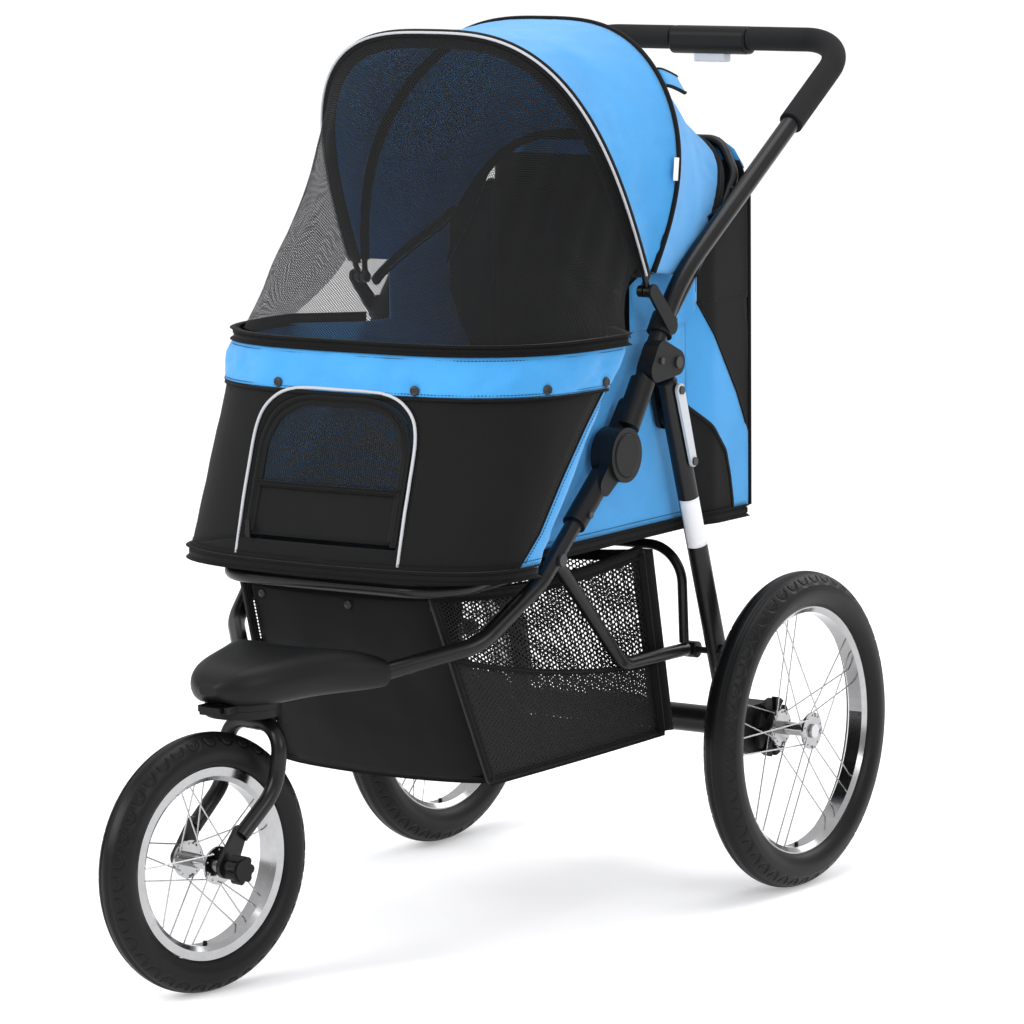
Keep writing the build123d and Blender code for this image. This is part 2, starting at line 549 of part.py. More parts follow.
def window_section(k, inset):
    """Outline of the mesh window from the rim (k = 0) up to the front hoop (k = 1)."""
    base_y, base_z = -300.0, RIM_Z + 3
    lift_rad = math.radians(FRONT_LIFT)
    top_y = CANOPY_PIVOT[0] - 6 * math.sin(lift_rad)
    top_z = CANOPY_PIVOT[1] + 6 * math.cos(lift_rad)
    low = (236 - inset, 248 - inset)
    high = (FRONT_HALF + 3 - inset, FRONT_HEIGHT + 3 - inset)
    lift = 180 + k * (FRONT_LIFT - 180)
    half, depth = (a + (b - a) * k for a, b in zip(low, high))
    foot = (base_y + (top_y - base_y) * k, base_z + (top_z - base_z) * k)
    outline = [(x, y, z) for x, y, z in arch(half, depth, foot, lift, EXPONENT, 24)]
    wire = Wire([Line(a, b) for a, b in zip(outline, outline[1:] + outline[:1])])
    return Face(wire)


def window_block(inset):
    """Solid between the rim and the front hoop."""
    return loft([window_section(k, inset) for k in (0, 1)], ruled=True)


window = window_block(0) - window_block(3)
save("mesh_window", window - cross_pin(-300, 300, CANOPY_PIVOT, 60))

# ---------------------------------------------------------------- rear legs and axle
leg_top = along(LOCK_POINT, LEG_FOOT, 26)
leg_end = along(LOCK_POINT, LEG_FOOT, math.dist(LOCK_POINT, LEG_FOOT) - 6)
leg = pipe((LEG_X, *leg_top), (LEG_X, *leg_end), LEG_R, LEG_R - WALL)
lug_base = along(LOCK_POINT, LEG_FOOT, 75)
leg += plate(176, 181.5, [(*LOCK_POINT, 12), (*lug_base, 12)])
leg += plate(181.5, 186, [(*along(LOCK_POINT, LEG_FOOT, 62), 7), (*lug_base, 9)])
leg -= cross_pin(150, 230, LEG_PIVOT, 4 + RUN)
save("rear_leg_left", leg)
save("rear_leg_right", mirror(leg, about=Plane.YZ))

AXLE_TUBE_R, HOUSING_IN, HOUSING_OUT = 17.0, 180.0, 222.0
save("axle_tube", pipe((-HOUSING_IN - 12, 0, AXLE_Z), (HOUSING_IN + 12, 0, AXLE_Z), AXLE_TUBE_R, 14.5))
PIN_AT = (0.0, AXLE_Z + 24.0)
block = Pos((HOUSING_IN + HOUSING_OUT) / 2, -14, AXLE_Z) * Box(HOUSING_OUT - HOUSING_IN, 84, 60)
block = fillet(block.edges().filter_by(Axis.X), 22)
block -= rod((HOUSING_IN - 20, 0, AXLE_Z), (HOUSING_IN + 12, 0, AXLE_Z), AXLE_TUBE_R + RUN)
block -= rod((HOUSING_IN, 0, AXLE_Z), (HOUSING_OUT + 5, 0, AXLE_Z), AXLE_R + RUN)
block -= rod((LEG_X, *leg_top), (LEG_X, *leg_end), LEG_R + RUN)
block -= cross_pin(200, HOUSING_OUT + 5, PIN_AT, 3 + RUN)
save("axle_housing_left", block)
save("axle_housing_right", mirror(block, about=Plane.YZ))
brake_pin = cross_pin(204, 221.5, PIN_AT, 3)
save("brake_pin_left", brake_pin)
save("brake_pin_right", mirror(brake_pin, about=Plane.YZ))
AXLE_END = 290.0
stub = rod((HOUSING_IN + 13, 0, AXLE_Z), (AXLE_END - 2, 0, AXLE_Z), AXLE_R)
stub += rod((AXLE_END - 2.4, 0, AXLE_Z), (AXLE_END, 0, AXLE_Z), 8.5)
save("wheel_axles", *both(stub))

pedal = rod((-32, 0, AXLE_Z), (32, 0, AXLE_Z), 22) + Pos(0, 48, AXLE_Z - 3) * Box(64, 64, 8)
pedal = pedal - rod((-40, 0, AXLE_Z), (40, 0, AXLE_Z), AXLE_TUBE_R + RUN)
save("brake_pedal", pedal)

LATCH_TOP, LATCH_LOW = along(LOCK_POINT, LEG_FOOT, 36), along(LOCK_POINT, LEG_FOOT, 128)
latch = plate(209.5, 213, [(*LATCH_TOP, 8), (*LATCH_LOW, 6.5)])
latch -= cross_pin(200, 220, LATCH_TOP, 3 + RUN)
latch -= cross_pin(200, 220, LATCH_LOW, 3.4)
latch -= Pos(211, LATCH_LOW[0] + 6, LATCH_LOW[1]) * Box(10, 12, 6)
save("storage_latch", latch)
latch_studs = []
for spot in (LATCH_TOP, LATCH_LOW):
    latch_studs.append(cross_pin(LEG_X + LEG_R + RUN, 214, spot, 3) + cross_pin(213.3, 215.5, spot, 5))
save("latch_studs", *latch_studs)
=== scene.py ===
import json
import math

import bmesh
import bpy
import numpy as np
from mathutils import Matrix, Vector, noise


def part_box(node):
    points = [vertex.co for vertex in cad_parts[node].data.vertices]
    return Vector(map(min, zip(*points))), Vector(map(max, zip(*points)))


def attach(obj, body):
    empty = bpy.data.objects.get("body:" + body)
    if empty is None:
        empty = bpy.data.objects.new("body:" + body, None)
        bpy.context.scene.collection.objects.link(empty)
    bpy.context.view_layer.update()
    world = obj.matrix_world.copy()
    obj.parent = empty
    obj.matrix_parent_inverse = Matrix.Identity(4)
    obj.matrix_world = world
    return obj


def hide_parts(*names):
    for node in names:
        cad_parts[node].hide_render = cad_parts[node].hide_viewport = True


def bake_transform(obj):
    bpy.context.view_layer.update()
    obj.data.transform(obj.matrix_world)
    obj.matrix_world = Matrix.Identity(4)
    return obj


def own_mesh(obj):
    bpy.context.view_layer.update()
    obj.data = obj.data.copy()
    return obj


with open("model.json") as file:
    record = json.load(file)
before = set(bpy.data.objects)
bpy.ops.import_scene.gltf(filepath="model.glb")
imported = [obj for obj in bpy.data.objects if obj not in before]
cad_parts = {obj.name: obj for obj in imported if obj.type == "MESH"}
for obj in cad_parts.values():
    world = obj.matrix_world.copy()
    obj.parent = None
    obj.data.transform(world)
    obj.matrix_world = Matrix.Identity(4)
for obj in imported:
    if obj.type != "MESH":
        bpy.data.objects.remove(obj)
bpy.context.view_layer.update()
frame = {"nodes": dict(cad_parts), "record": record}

# Every length below is in millimetres from the rear axle line: x to the stroller's left,
# y backwards, z up from the ground. place() turns it into the frame's metres.
MM = 0.001
axle_low, axle_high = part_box("wheel_axles")
AXLE_Y = (axle_low.y + axle_high.y) / 2


def place(point):
    """A point in millimetres from the rear axle line, as frame metres."""
    return Vector((point[0] * MM, point[1] * MM + AXLE_Y, point[2] * MM))


# ------------------------------------------------------------------ node materials
def start_material(name):
    """An empty node material, with its tree and its Principled shader."""
    mat = bpy.data.materials.new(name)
    mat.use_nodes = True
    return mat, mat.node_tree, mat.node_tree.nodes["Principled BSDF"]


def fill(tree, node, **inputs):
    """Link or set a node's inputs; an underscore in a name stands for a space."""
    for key, value in inputs.items():
        put(tree, value, node.inputs[key.replace("_", " ")])


def put(tree, value, socket):
    """Link an output to a socket, or set the socket's own value."""
    if isinstance(value, bpy.types.NodeSocket):
        tree.links.new(value, socket)
    else:
        socket.default_value = value


def add_node(tree, kind, **inputs):
    """A new node of a kind, with its inputs filled."""
    node = tree.nodes.new("ShaderNode" + kind)
    fill(tree, node, **inputs)
    return node


def calc(tree, operation, *inputs):
    """Output of a Math node whose inputs are sockets or numbers."""
    node = add_node(tree, "Math")
    node.operation = operation
    for socket, value in zip(node.inputs, inputs):
        put(tree, value, socket)
    return node.outputs[0]


def mix(tree, *terms):
    """Sum of (value, weight) terms."""
    parts = [calc(tree, "MULTIPLY", value, weight) for value, weight in terms]
    total = parts.pop()
    while parts:
        total = calc(tree, "ADD", parts.pop(), total)
    return total


def coordinates(tree, scale=1.0, use_uv=False):
    """Object or UV coordinates (in a world, directions) times scale: x, y and z sockets, and the vector."""
    source = add_node(tree, "TexCoord").outputs["UV" if use_uv else "Object"]
    vector = add_node(tree, "Mapping", Vector=source, Scale=(scale, scale, scale)).outputs[0]
    return add_node(tree, "SeparateXYZ", Vector=vector).outputs, vector


def noise_node(tree, vector, scale, detail=3.0, roughness=0.55):
    """A noise texture's value."""
    return add_node(tree, "TexNoise", Vector=vector, Scale=scale, Detail=detail,
                    Roughness=roughness).outputs["Fac"]


def ramp(tree, value, low, high, low_at=0.3, high_at=0.7):
    """A colour that runs from low to high as value goes from low_at to high_at."""
    node = add_node(tree, "ValToRGB", Fac=value)
    for stop, colour, at in zip(node.color_ramp.elements, (low, high), (low_at, high_at)):
        stop.color, stop.position = (*colour, 1), at
    return node.outputs[0]


def bump(tree, shader, height, strength, distance):
    """Bump from a height socket into the shader's normal."""
    node = add_node(tree, "Bump", Strength=strength, Distance=distance, Height=height)
    fill(tree, shader, Normal=node.outputs[0])


def span(tree, value, low, high):
    """Value in 0..1 mapped to low..high."""
    return add_node(tree, "MapRange", Value=value, To_Min=low, To_Max=high).outputs[0]


def woven(name, colour, shade, thread_mm=0.9, sheen=0.25, roughness=0.82):
    """Oxford cloth: a basket weave of threads, uneven dye and a soft sheen."""
    mat, tree, shader = start_material(name)
    vector = coordinates(tree)[1]
    u, v, _ = coordinates(tree, math.pi / (thread_mm * MM), use_uv=True)[0]
    warp, weft = (calc(tree, "ABSOLUTE", calc(tree, "SINE", way)) for way in (u, v))
    over, under = (calc(tree, "SINE", calc(tree, "MULTIPLY", way, 0.5)) for way in (u, v))
    side = calc(tree, "GREATER_THAN", calc(tree, "MULTIPLY", over, under), 0.0)
    weave = mix(tree, (warp, side), (weft, calc(tree, "SUBTRACT", 1.0, side)))
    cloudy = noise_node(tree, vector, 14.0, 4.0)
    slub = noise_node(tree, vector, 420.0, 2.0)
    dye = mix(tree, (cloudy, 0.55), (slub, 0.2), (weave, 0.25))
    fill(tree, shader, Base_Color=ramp(tree, dye, shade, colour, 0.28, 0.66),
         Roughness=span(tree, cloudy, roughness - 0.06, roughness + 0.08),
         Sheen_Weight=sheen, Sheen_Roughness=0.45, Specular_IOR_Level=0.16)
    creases = noise_node(tree, vector, 38.0, 3.0)
    bump(tree, shader, mix(tree, (weave, 0.35), (creases, 1.6)), 0.35, 0.0012)
    return mat


def netting(name, colour, pitch_mm, openness, thread=0.5):
    """Knitted net: round holes on a hexagonal lattice, cut out by alpha."""
    mat, tree, shader = start_material(name)
    wave = 4 * math.pi / (math.sqrt(3) * pitch_mm * MM)
    u, v, _ = coordinates(tree, wave, use_uv=True)[0]
    half_u = calc(tree, "MULTIPLY", u, 0.5)
    tall_v = calc(tree, "MULTIPLY", v, math.sqrt(3) / 2)
    waves = [calc(tree, "COSINE", way) for way in
             (u, calc(tree, "ADD", half_u, tall_v), calc(tree, "SUBTRACT", half_u, tall_v))]
    total = calc(tree, "ADD", waves[0], calc(tree, "ADD", waves[1], waves[2]))
    cloudy = noise_node(tree, coordinates(tree)[1], 30.0)
    fill(tree, shader, Alpha=calc(tree, "LESS_THAN", total, openness),
         Base_Color=ramp(tree, cloudy, tuple(c * thread for c in colour), colour),
         Roughness=span(tree, cloudy, 0.6, 0.85), Specular_IOR_Level=0.25)
    bump(tree, shader, total, 0.25, 0.0006)
    return mat


def painted(name, colour, roughness, coat=0.0, grain=220.0, depth=0.0002, edge_light=1.6):
    """Paint or moulded plastic: fine grain, uneven gloss, and from curvature a painted highlight on sharp
    edges and painted shade in hollows.
    """
    mat, tree, shader = start_material(name)
    vector = coordinates(tree)[1]
    fine = noise_node(tree, vector, grain * 4, 2.0)
    broad = noise_node(tree, vector, 9.0, 4.0)
    light = tuple(min(1.0, c * edge_light + 0.002) for c in colour)
    # Painted light: Pointiness makes convex edges lighter (painted highlight) and hollows and grooves
    # darker (painted shade); this is mixed with random broad tone.
    curvature_shading = span(tree, add_node(tree, "NewGeometry").outputs["Pointiness"], -6.0, 6.8)
    tone_and_curvature_shading = mix(tree, (broad, 0.6), (curvature_shading, 0.4))
    fill(tree, shader, Base_Color=ramp(tree, tone_and_curvature_shading, colour, light, 0.3, 0.85),
         Roughness=span(tree, broad, roughness - 0.06, roughness + 0.08),
         Coat_Weight=coat, Coat_Roughness=0.25, Specular_IOR_Level=0.18)
    bump(tree, shader, fine, 0.4, depth)
    return mat


def metal(name, colour, roughness, streak=80.0):
    """Plated or drawn metal with faint polishing marks."""
    mat, tree, shader = start_material(name)
    marks = noise_node(tree, coordinates(tree)[1], streak, 6.0, 0.7)
    fill(tree, shader, Base_Color=ramp(tree, marks, tuple(c * 0.86 for c in colour), colour),
         Roughness=span(tree, marks, roughness * 0.7, roughness * 1.5), Metallic=1.0)
    bump(tree, shader, marks, 0.08, 0.0001)
    return mat


BLUE, BLUE_DEEP = (0.058, 0.315, 0.66), (0.042, 0.245, 0.54)
BLACK, BLACK_DEEP = (0.0055, 0.0056, 0.0058), (0.0022, 0.0022, 0.0023)
MATERIALS = {
    "fabric_blue": woven("blue_oxford", BLUE, BLUE_DEEP),
    "fabric_black": woven("black_oxford", BLACK, BLACK_DEEP, sheen=0.05),
    "black_binding": woven("black_binding", BLACK, BLACK_DEEP, thread_mm=1.6, sheen=0.06),
    "mesh_black": netting("window_net", (0.006, 0.0065, 0.007), 2.4, 0.15),
    "basket_net": netting("basket_net", (0.006, 0.006, 0.0065), 6.0, 0.15),
    "close_net": netting("close_net", (0.006, 0.006, 0.0065), 5.0, 2.2),
    "silver_piping": painted("silver_piping", (0.42, 0.43, 0.45), 0.38, grain=300.0, edge_light=1.2),
    "frame_paint": painted("satin_black_paint", (0.0035, 0.0035, 0.0036), 0.30, coat=0.15, depth=0.00006),
    "black_plastic": painted("moulded_plastic", (0.0032, 0.0032, 0.0033), 0.44, depth=0.00025),
    "grip_foam": painted("grip_foam", (0.006, 0.006, 0.0062), 0.8, grain=500.0, depth=0.0005),
    "rubber_tyre": painted("tyre_rubber", (0.0035, 0.0035, 0.0036), 0.40, grain=160.0, depth=0.0003),
    "rim_chrome": metal("rim_chrome", (0.41, 0.41, 0.41), 0.13),
    "spoke_steel": metal("spoke_wire", (0.50, 0.50, 0.50), 0.22),
    "hub_chrome": metal("hub_chrome", (0.40, 0.40, 0.40), 0.14),
    "axle_steel": metal("zinc_steel", (0.62, 0.62, 0.64), 0.3),
    "fastener_black": painted("black_fastener", (0.010, 0.010, 0.0105), 0.3, coat=0.2, edge_light=2.5),
    "latch_grey": painted("grey_plastic", (0.40, 0.42, 0.44), 0.42, edge_light=1.25),
    "board_black": painted("board", (0.02, 0.02, 0.02), 0.6),
    "label_white": painted("blank_label", (0.72, 0.72, 0.73), 0.5, edge_light=1.1),
}

slot_of = {part["node"]: part["material_slot"] for part in frame["record"]["subparts"]}
for node_name, node_object in frame["nodes"].items():
    node_object.data.materials.clear()
    node_object.data.materials.append(MATERIALS[slot_of[node_name]])


# ------------------------------------------------------------------ mesh helpers
def make_piece(name, vertices, faces, look, body, uvs=None, smooth=True):
    """A mesh object from points in millimetres; it gets the material of its slot, and its body."""
    mesh = bpy.data.meshes.new(name)
    mesh.from_pydata([place(v) for v in vertices], [], faces)
    if uvs is not None:
        layer = mesh.uv_layers.new(name="UVMap")
        for loop in mesh.loops:
            layer.data[loop.index].uv = uvs[loop.vertex_index]
    mesh.validate()
    mesh.update()
    for polygon in mesh.polygons:
        polygon.use_smooth = smooth
    piece = bpy.data.objects.new(name, mesh)
    bpy.context.scene.collection.objects.link(piece)
    piece.data.materials.append(MATERIALS[look])
    if body:
        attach(piece, body)
    return piece


def settle(piece):
    """Apply every modifier on a piece to its mesh."""
    graph = bpy.context.evaluated_depsgraph_get()
    mesh = bpy.data.meshes.new_from_object(piece.evaluated_get(graph))
    piece.modifiers.clear()
    piece.data = mesh


def thicken(piece, thickness_mm):
    """Give a sheet its cloth thickness, half on each side."""
    solid = piece.modifiers.new("thickness", "SOLIDIFY")
    solid.thickness = thickness_mm * MM
    solid.offset = 0.0
    settle(piece)


def smooth_line(points, count):
    """Catmull-Rom line through points, as count evenly spaced points."""
    pts = np.array(points, float)
    dense = []
    for i, (p1, p2) in enumerate(zip(pts, pts[1:])):
        p0 = pts[i - 1] if i > 0 else 2 * p1 - p2
        p3 = pts[i + 2] if i + 2 < len(pts) else 2 * p2 - p1
        for t in np.linspace(0, 1, 16, endpoint=False):
            dense.append(0.5 * (2 * p1 + (p2 - p0) * t + (2 * p0 - 5 * p1 + 4 * p2 - p3) * t * t
                                + (3 * p1 - p0 - 3 * p2 + p3) * t ** 3))
    dense.append(pts[-1])
    return resample(dense, count)


def run_of(points):
    """Distance run along a line at each of its points."""
    return np.concatenate([[0], np.cumsum(np.linalg.norm(np.diff(points, axis=0), axis=1))])


def resample(points, count):
    """The same line as count evenly spaced points."""
    pts = np.array(points, float)
    run = run_of(pts)
    at = np.linspace(0, run[-1], count)
    return np.stack([np.interp(at, run, pts[:, i]) for i in range(pts.shape[1])], 1)


def grid_of(rows, columns, point):
    """Grid (rows, columns, xyz) of what point(row, column) gives."""
    return np.array([[point(i, j) for j in range(columns)] for i in range(rows)], float)


def grid_faces(rows, columns):
    """Faces between the points of a grid, row by row."""
    return [(a, a + 1, a + columns + 1, a + columns)
            for i in range(rows - 1) for a in range(i * columns, (i + 1) * columns - 1)]


def frames_along(line, up):
    """Tangent, side and top vectors at every point of a line; up is one vector or one per point."""
    tangents = np.gradient(line, axis=0)
    tangents /= np.linalg.norm(tangents, axis=1)[:, None]
    ups = np.broadcast_to(np.array(up, float), line.shape)
    sides = np.cross(tangents, ups)
    sides /= np.linalg.norm(sides, axis=1)[:, None] + 1e-12
    return tangents, sides, np.cross(sides, tangents)


def sweep_piece(name, line, profile, look, body, up=(0, 0, 1)):
    """Sweep a closed profile of (side, top) offsets in millimetres along a line."""
    line = np.array(line, float)
    _, sides, tops = frames_along(line, up)
    count, around = len(line), len(profile)
    vertices = [tuple(line[i] + sides[i] * a + tops[i] * b) for i in range(count) for a, b in profile]
    uvs = [(run * MM, math.dist(profile[0], point) * MM) for run in run_of(line) for point in profile]
    faces = []
    for i in range(count - 1):
        for j in range(around):
            m = (j + 1) % around
            faces.append((i * around + j, i * around + m, (i + 1) * around + m, (i + 1) * around + j))
    faces.append(tuple(range(around))[::-1])
    faces.append(tuple((count - 1) * around + j for j in range(around)))
    return make_piece(name, vertices, faces, look, body, uvs)


def round_profile(radius, count=10):
    """Points of a circle."""
    return [(radius * math.cos(2 * math.pi * i / count), radius * math.sin(2 * math.pi * i / count))
            for i in range(count)]


def tape_profile(width, thickness):
    """Rounded flat strip: width along the side vector."""
    w, t = width / 2, thickness / 2
    return [(-w, -t * 0.4), (-w + t, -t), (w - t, -t), (w, -t * 0.4),
            (w, t * 0.4), (w - t, t), (-w + t, t), (-w, t * 0.4)]


def sheet_piece(name, grid, look, body, thickness=1.2, keep=None):
    """Cloth from a grid of points (rows, columns, xyz); keep(row) says which rows have faces."""
    rows, cols = grid.shape[:2]
    du = np.linalg.norm(np.diff(grid, axis=1), axis=2).mean(0)
    dv = np.linalg.norm(np.diff(grid, axis=0), axis=2).mean(1)
    us = np.concatenate([[0], np.cumsum(du)]) * MM
    vs = np.concatenate([[0], np.cumsum(dv)]) * MM
    vertices = [tuple(grid[i, j]) for i in range(rows) for j in range(cols)]
    uvs = [(us[j], vs[i]) for i in range(rows) for j in range(cols)]
    faces = [face for face in grid_faces(rows, cols) if keep is None or keep(face[0] // cols)]
    piece = make_piece(name, vertices, faces, look, None, uvs)
    drop_loose(piece)
    if thickness:
        thicken(piece, thickness)
        for polygon in piece.data.polygons:
            polygon.use_smooth = True
    if body:
        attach(piece, body)
    return piece


def drop_loose(piece):
    """Remove points that no face uses."""
    work = bmesh.new()
    work.from_mesh(piece.data)
    loose = [v for v in work.verts if not v.link_faces]
    bmesh.ops.delete(work, geom=loose, context="VERTS")
    work.to_mesh(piece.data)
    work.free()


def wrinkle(grid, size_mm, height_mm, seed):
    """Push a grid of points along its normals by smooth noise, less near its borders."""
    rows, cols = grid.shape[:2]
    gu = np.gradient(grid, axis=1)
    gv = np.gradient(grid, axis=0)
    normal = np.cross(gu, gv)
    normal /= np.linalg.norm(normal, axis=2)[..., None] + 1e-9
    out = grid.copy()
    for i in range(rows):
        for j in range(cols):
            edge = min(1, 3.0 * min(i, rows - 1 - i) / rows) * min(1, 6.0 * min(j, cols - 1 - j) / cols)
            p = Vector(grid[i, j] / size_mm) + Vector((seed, 0, 0))
            out[i, j] += normal[i, j] * noise.fractal(p, 1.0, 2.0, 3) * height_mm * edge
    return out


def arch(half, height, foot, lift_deg, exponent, count, bulge=0.0):
    """Points of a hoop that stands on the X line through foot and leans at lift_deg."""
    t = np.linspace(0, math.pi, count)
    c, s = np.cos(t), np.sin(t)
    share = np.abs(s) ** (2 / exponent)
    x = half * np.sign(c) * np.abs(c) ** (2 / exponent) * (1 + bulge * np.sin(math.pi * share))
    up = height * share
    return resample(np.stack([x, foot[0] + up * math.cos(math.radians(lift_deg)),
                              foot[1] + up * math.sin(math.radians(lift_deg))], 1), count)


def between(line_a, line_b, rows):
    """Rows of points from one line to another."""
    t = np.linspace(0, 1, rows)[:, None, None]
    return line_a[None] * (1 - t) + line_b[None] * t


# ------------------------------------------------------------------ the cabin's outline
CABIN_LOW, RIM_Z, CORNER_Y, SIDE_X = 453.0, 700.0, 20.0, 172.0
BACK_X, SIDE_END = 185.0, -112.0
REAR_CORNER = resample([(SIDE_X, SIDE_END), (BACK_X, -60.0), (BACK_X, CORNER_Y)], 21)


def cabin_outline(z):
    """Half outline at a height: front centre, bowed corner, straight side, rear corner, rear centre."""
    k = (z - CABIN_LOW) / (RIM_Z - CABIN_LOW)
    front, shoulder = -622 + 74 * k, -505 + 175 * k
    side_y, width = -472 + 200 * k, 226 + 10 * k
    t = np.linspace(math.pi / 2, 0, 240)
    bow = np.stack([width * np.abs(np.cos(t)) ** (2 / 3.2),
                    shoulder + (front - shoulder) * np.abs(np.sin(t)) ** (2 / 3.2)], 1)
    bow = np.vstack([bow, [[SIDE_X, side_y]]])
    return bow, side_y


def wall(f, z, out=0.0):
    """Point of the cabin wall: f runs 0 at the front centre, 1 at the end of the bowed corner,
    2 at the start of the rear corner, 3 at its end and 4 at the rear centre; negative f is on the right."""
    sign, f = (-1 if f < 0 else 1), abs(f)
    bow, side_y = cabin_outline(min(z, RIM_Z))
    if f <= 1:
        run = run_of(bow)
        x, y = (np.interp(f * run[-1], run, bow[:, i]) for i in range(2))
        ahead = [np.interp(min(f * run[-1] + 4, run[-1]), run, bow[:, i]) for i in range(2)]
        behind = [np.interp(max(f * run[-1] - 4, 0), run, bow[:, i]) for i in range(2)]
        dx, dy = ahead[0] - behind[0], ahead[1] - behind[1]
    elif f <= 2:
        x, y, dx, dy = SIDE_X, side_y + (f - 1) * (SIDE_END - side_y), 0, 1
    elif f <= 3:
        x, y = (np.interp((f - 2) * 20, range(21), REAR_CORNER[:, i]) for i in range(2))
        dx, dy = 0, 1
    else:
        x, y, dx, dy = BACK_X * (4 - f), CORNER_Y, -1, 0
    size = math.hypot(dx, dy)
    return (sign * (x + out * dy / size), y - out * dx / size, z)


def bow_at(x, z):
    """The f of a point of the front wall at distance x from the centre."""
    bow, _ = cabin_outline(z)
    run = run_of(bow)
    return math.copysign(np.interp(abs(x), bow[:200, 0], run[:200]) / run[-1], x)


def side_at(y, z):
    """The f of a point of the side wall at depth y."""
    _, side_y = cabin_outline(min(z, RIM_Z))
    if y <= SIDE_END:
        return 1 + (y - side_y) / (SIDE_END - side_y)
    return 2 + float(np.interp(y, REAR_CORNER[:, 1], np.linspace(0, 1, 21)))


def curve_of(*pairs):
    """A value that follows (z, value) pairs."""
    zs, values = zip(*sorted(pairs))
    return lambda z: float(np.interp(z, zs, values))


def wall_patch(left, right, z_low, z_high, columns, rows, side=1):
    """Grid of wall points between two curves f = left(z) and f = right(z); z_low(t) is its lower edge."""
    def spot(i, j):
        t = j / (columns - 1)
        z = z_low(t) + (z_high - z_low(t)) * i / (rows - 1)
        return wall(side * (left(z) + (right(z) - left(z)) * t), z)

    return grid_of(rows, columns, spot)


def declare(grid, cut=None):
    width, length = cut or (np.linalg.norm(np.diff(grid, axis=1), axis=2).sum(1).max() * MM,
                            np.linalg.norm(np.diff(grid, axis=0), axis=2).sum(0).max() * MM)
    a = grid[:-1, :-1] - grid[1:, 1:]
    b = grid[1:, :-1] - grid[:-1, 1:]
    area = 0.5 * np.linalg.norm(np.cross(a, b), axis=2).sum() * MM * MM
    width, length = round(float(width), 3), round(float(length), 3)
    area = min(max(float(area), 0.301 * width * length), width * length)


SIDES = (("left", 1), ("right", -1))


def crumple(piece):
    """Give a piece of cabin or basket cloth a mesh of its own."""
    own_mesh(piece)


def cabin_cloth(name, grid, look, seed, ripple=2.2, cut=None):
    """One sewn panel of the cabin."""
    grid = wrinkle(grid, 90.0, ripple, seed) if ripple else grid
    piece = sheet_piece(name, grid, look, "seat_frame")
    declare(grid, cut)
    crumple(piece)
    return piece


# Boundaries of the panels, as f or y against height.
front_edge = curve_of((446, 0.70), (492, 0.748), (548, 0.757), (604, 0.775), (650, 0.80))
patch_edge = curve_of((446, -20), (469, -20), (500, -26), (532, -36), (566, -66), (596, -112))
rear_edge = curve_of((440, 20), (488, 20), (546, 19), (600, -9), (660, -50), (718, -90))
BAND_Z, HEM_Z = 646.0, 452.0


def hem_z(f):
    """Height of the bottom hem, which rises a little towards the rear."""
    return HEM_Z + 6 * min(1.0, abs(f) / 2.2)


# Front panel: a ring between the door hole and the panel's border.
DOOR_HALF, DOOR_LOW, DOOR_HIGH = 105.0, 477.0, 640.0


def door_outline(inset, count):
    """The arched door hole, counterclockwise from its lower left corner, in x and z."""
    half, top, low = DOOR_HALF - inset, DOOR_HIGH - inset, DOOR_LOW + inset
    right = [(half - 48, top - 2), (half - 16, top - 18), (half - 2, top - 46), (half, low + 80),
             (half, low + 40), (half, low)]
    return smooth_line([(-x, z) for x, z in reversed(right)] + [(0, top)] + right, count)


ARCH_COUNT, FOOT_COUNT = 81, 33
arch_in = door_outline(0, ARCH_COUNT)
foot_in = [(x, DOOR_LOW) for x in np.linspace(DOOR_HALF, -DOOR_HALF, FOOT_COUNT)[1:-1]]
inner = np.vstack([arch_in, foot_in])
SIDE_SHARE = 0.33
outer = []
for t in np.arange(ARCH_COUNT) / (ARCH_COUNT - 1):
    if t < SIDE_SHARE:
        z = HEM_Z + (BAND_Z - HEM_Z) * t / SIDE_SHARE
        outer.append((-front_edge(z), z))
    elif t <= 1 - SIDE_SHARE:
        f = front_edge(BAND_Z)
        outer.append((-f + 2 * f * (t - SIDE_SHARE) / (1 - 2 * SIDE_SHARE), BAND_Z))
    else:
        z = BAND_Z - (BAND_Z - HEM_Z) * (t - 1 + SIDE_SHARE) / SIDE_SHARE
        outer.append((front_edge(z), z))
for i in range(1, FOOT_COUNT - 1):
    f = front_edge(HEM_Z)
    outer.append((f - 2 * f * i / (FOOT_COUNT - 1), HEM_Z))
RING_ROWS = 13


def ring_point(i, j):
    """Point of the front panel between the door hole (row 0) and the border."""
    (x, z_in), (f_out, z_out), t = inner[j % len(inner)], outer[j % len(inner)], i / (RING_ROWS - 1)
    return wall(bow_at(x, z_in) * (1 - t) + f_out * t, z_in * (1 - t) + z_out * t)


ring = grid_of(RING_ROWS, len(inner) + 1, ring_point)
cabin_front = cabin_cloth("cabin_front_panel", ring, "fabric_black", 3.0, cut=(0.56, 0.2))



def band_point(i, j):
    """Point of the band over the door, with its puffed folds."""
    puff = math.sin(math.pi * i / 20) * (0.6 + noise.noise(Vector((j * 0.11, i * 0.05, 4.0))))
    return wall(-1 + j / 80.0, BAND_Z - 2 + (694 - BAND_Z) * i / 20, 1.6 + 4.5 * max(0.0, puff))


full_band = grid_of(21, 161, band_point)
cabin_cloth("cabin_front_band", wrinkle(full_band, 34.0, 3.4, 6.0), "fabric_blue", 5.0, ripple=3.0)
SLOPE_Y, SLOPE_RUN = -256, 275
PATCH_Y = -108.0


def slope_top(t):
    """Top edge of the side above the rim, which climbs to the rear hoop as t goes from 0 to 1."""
    return 738 + 102 * t ** 0.8


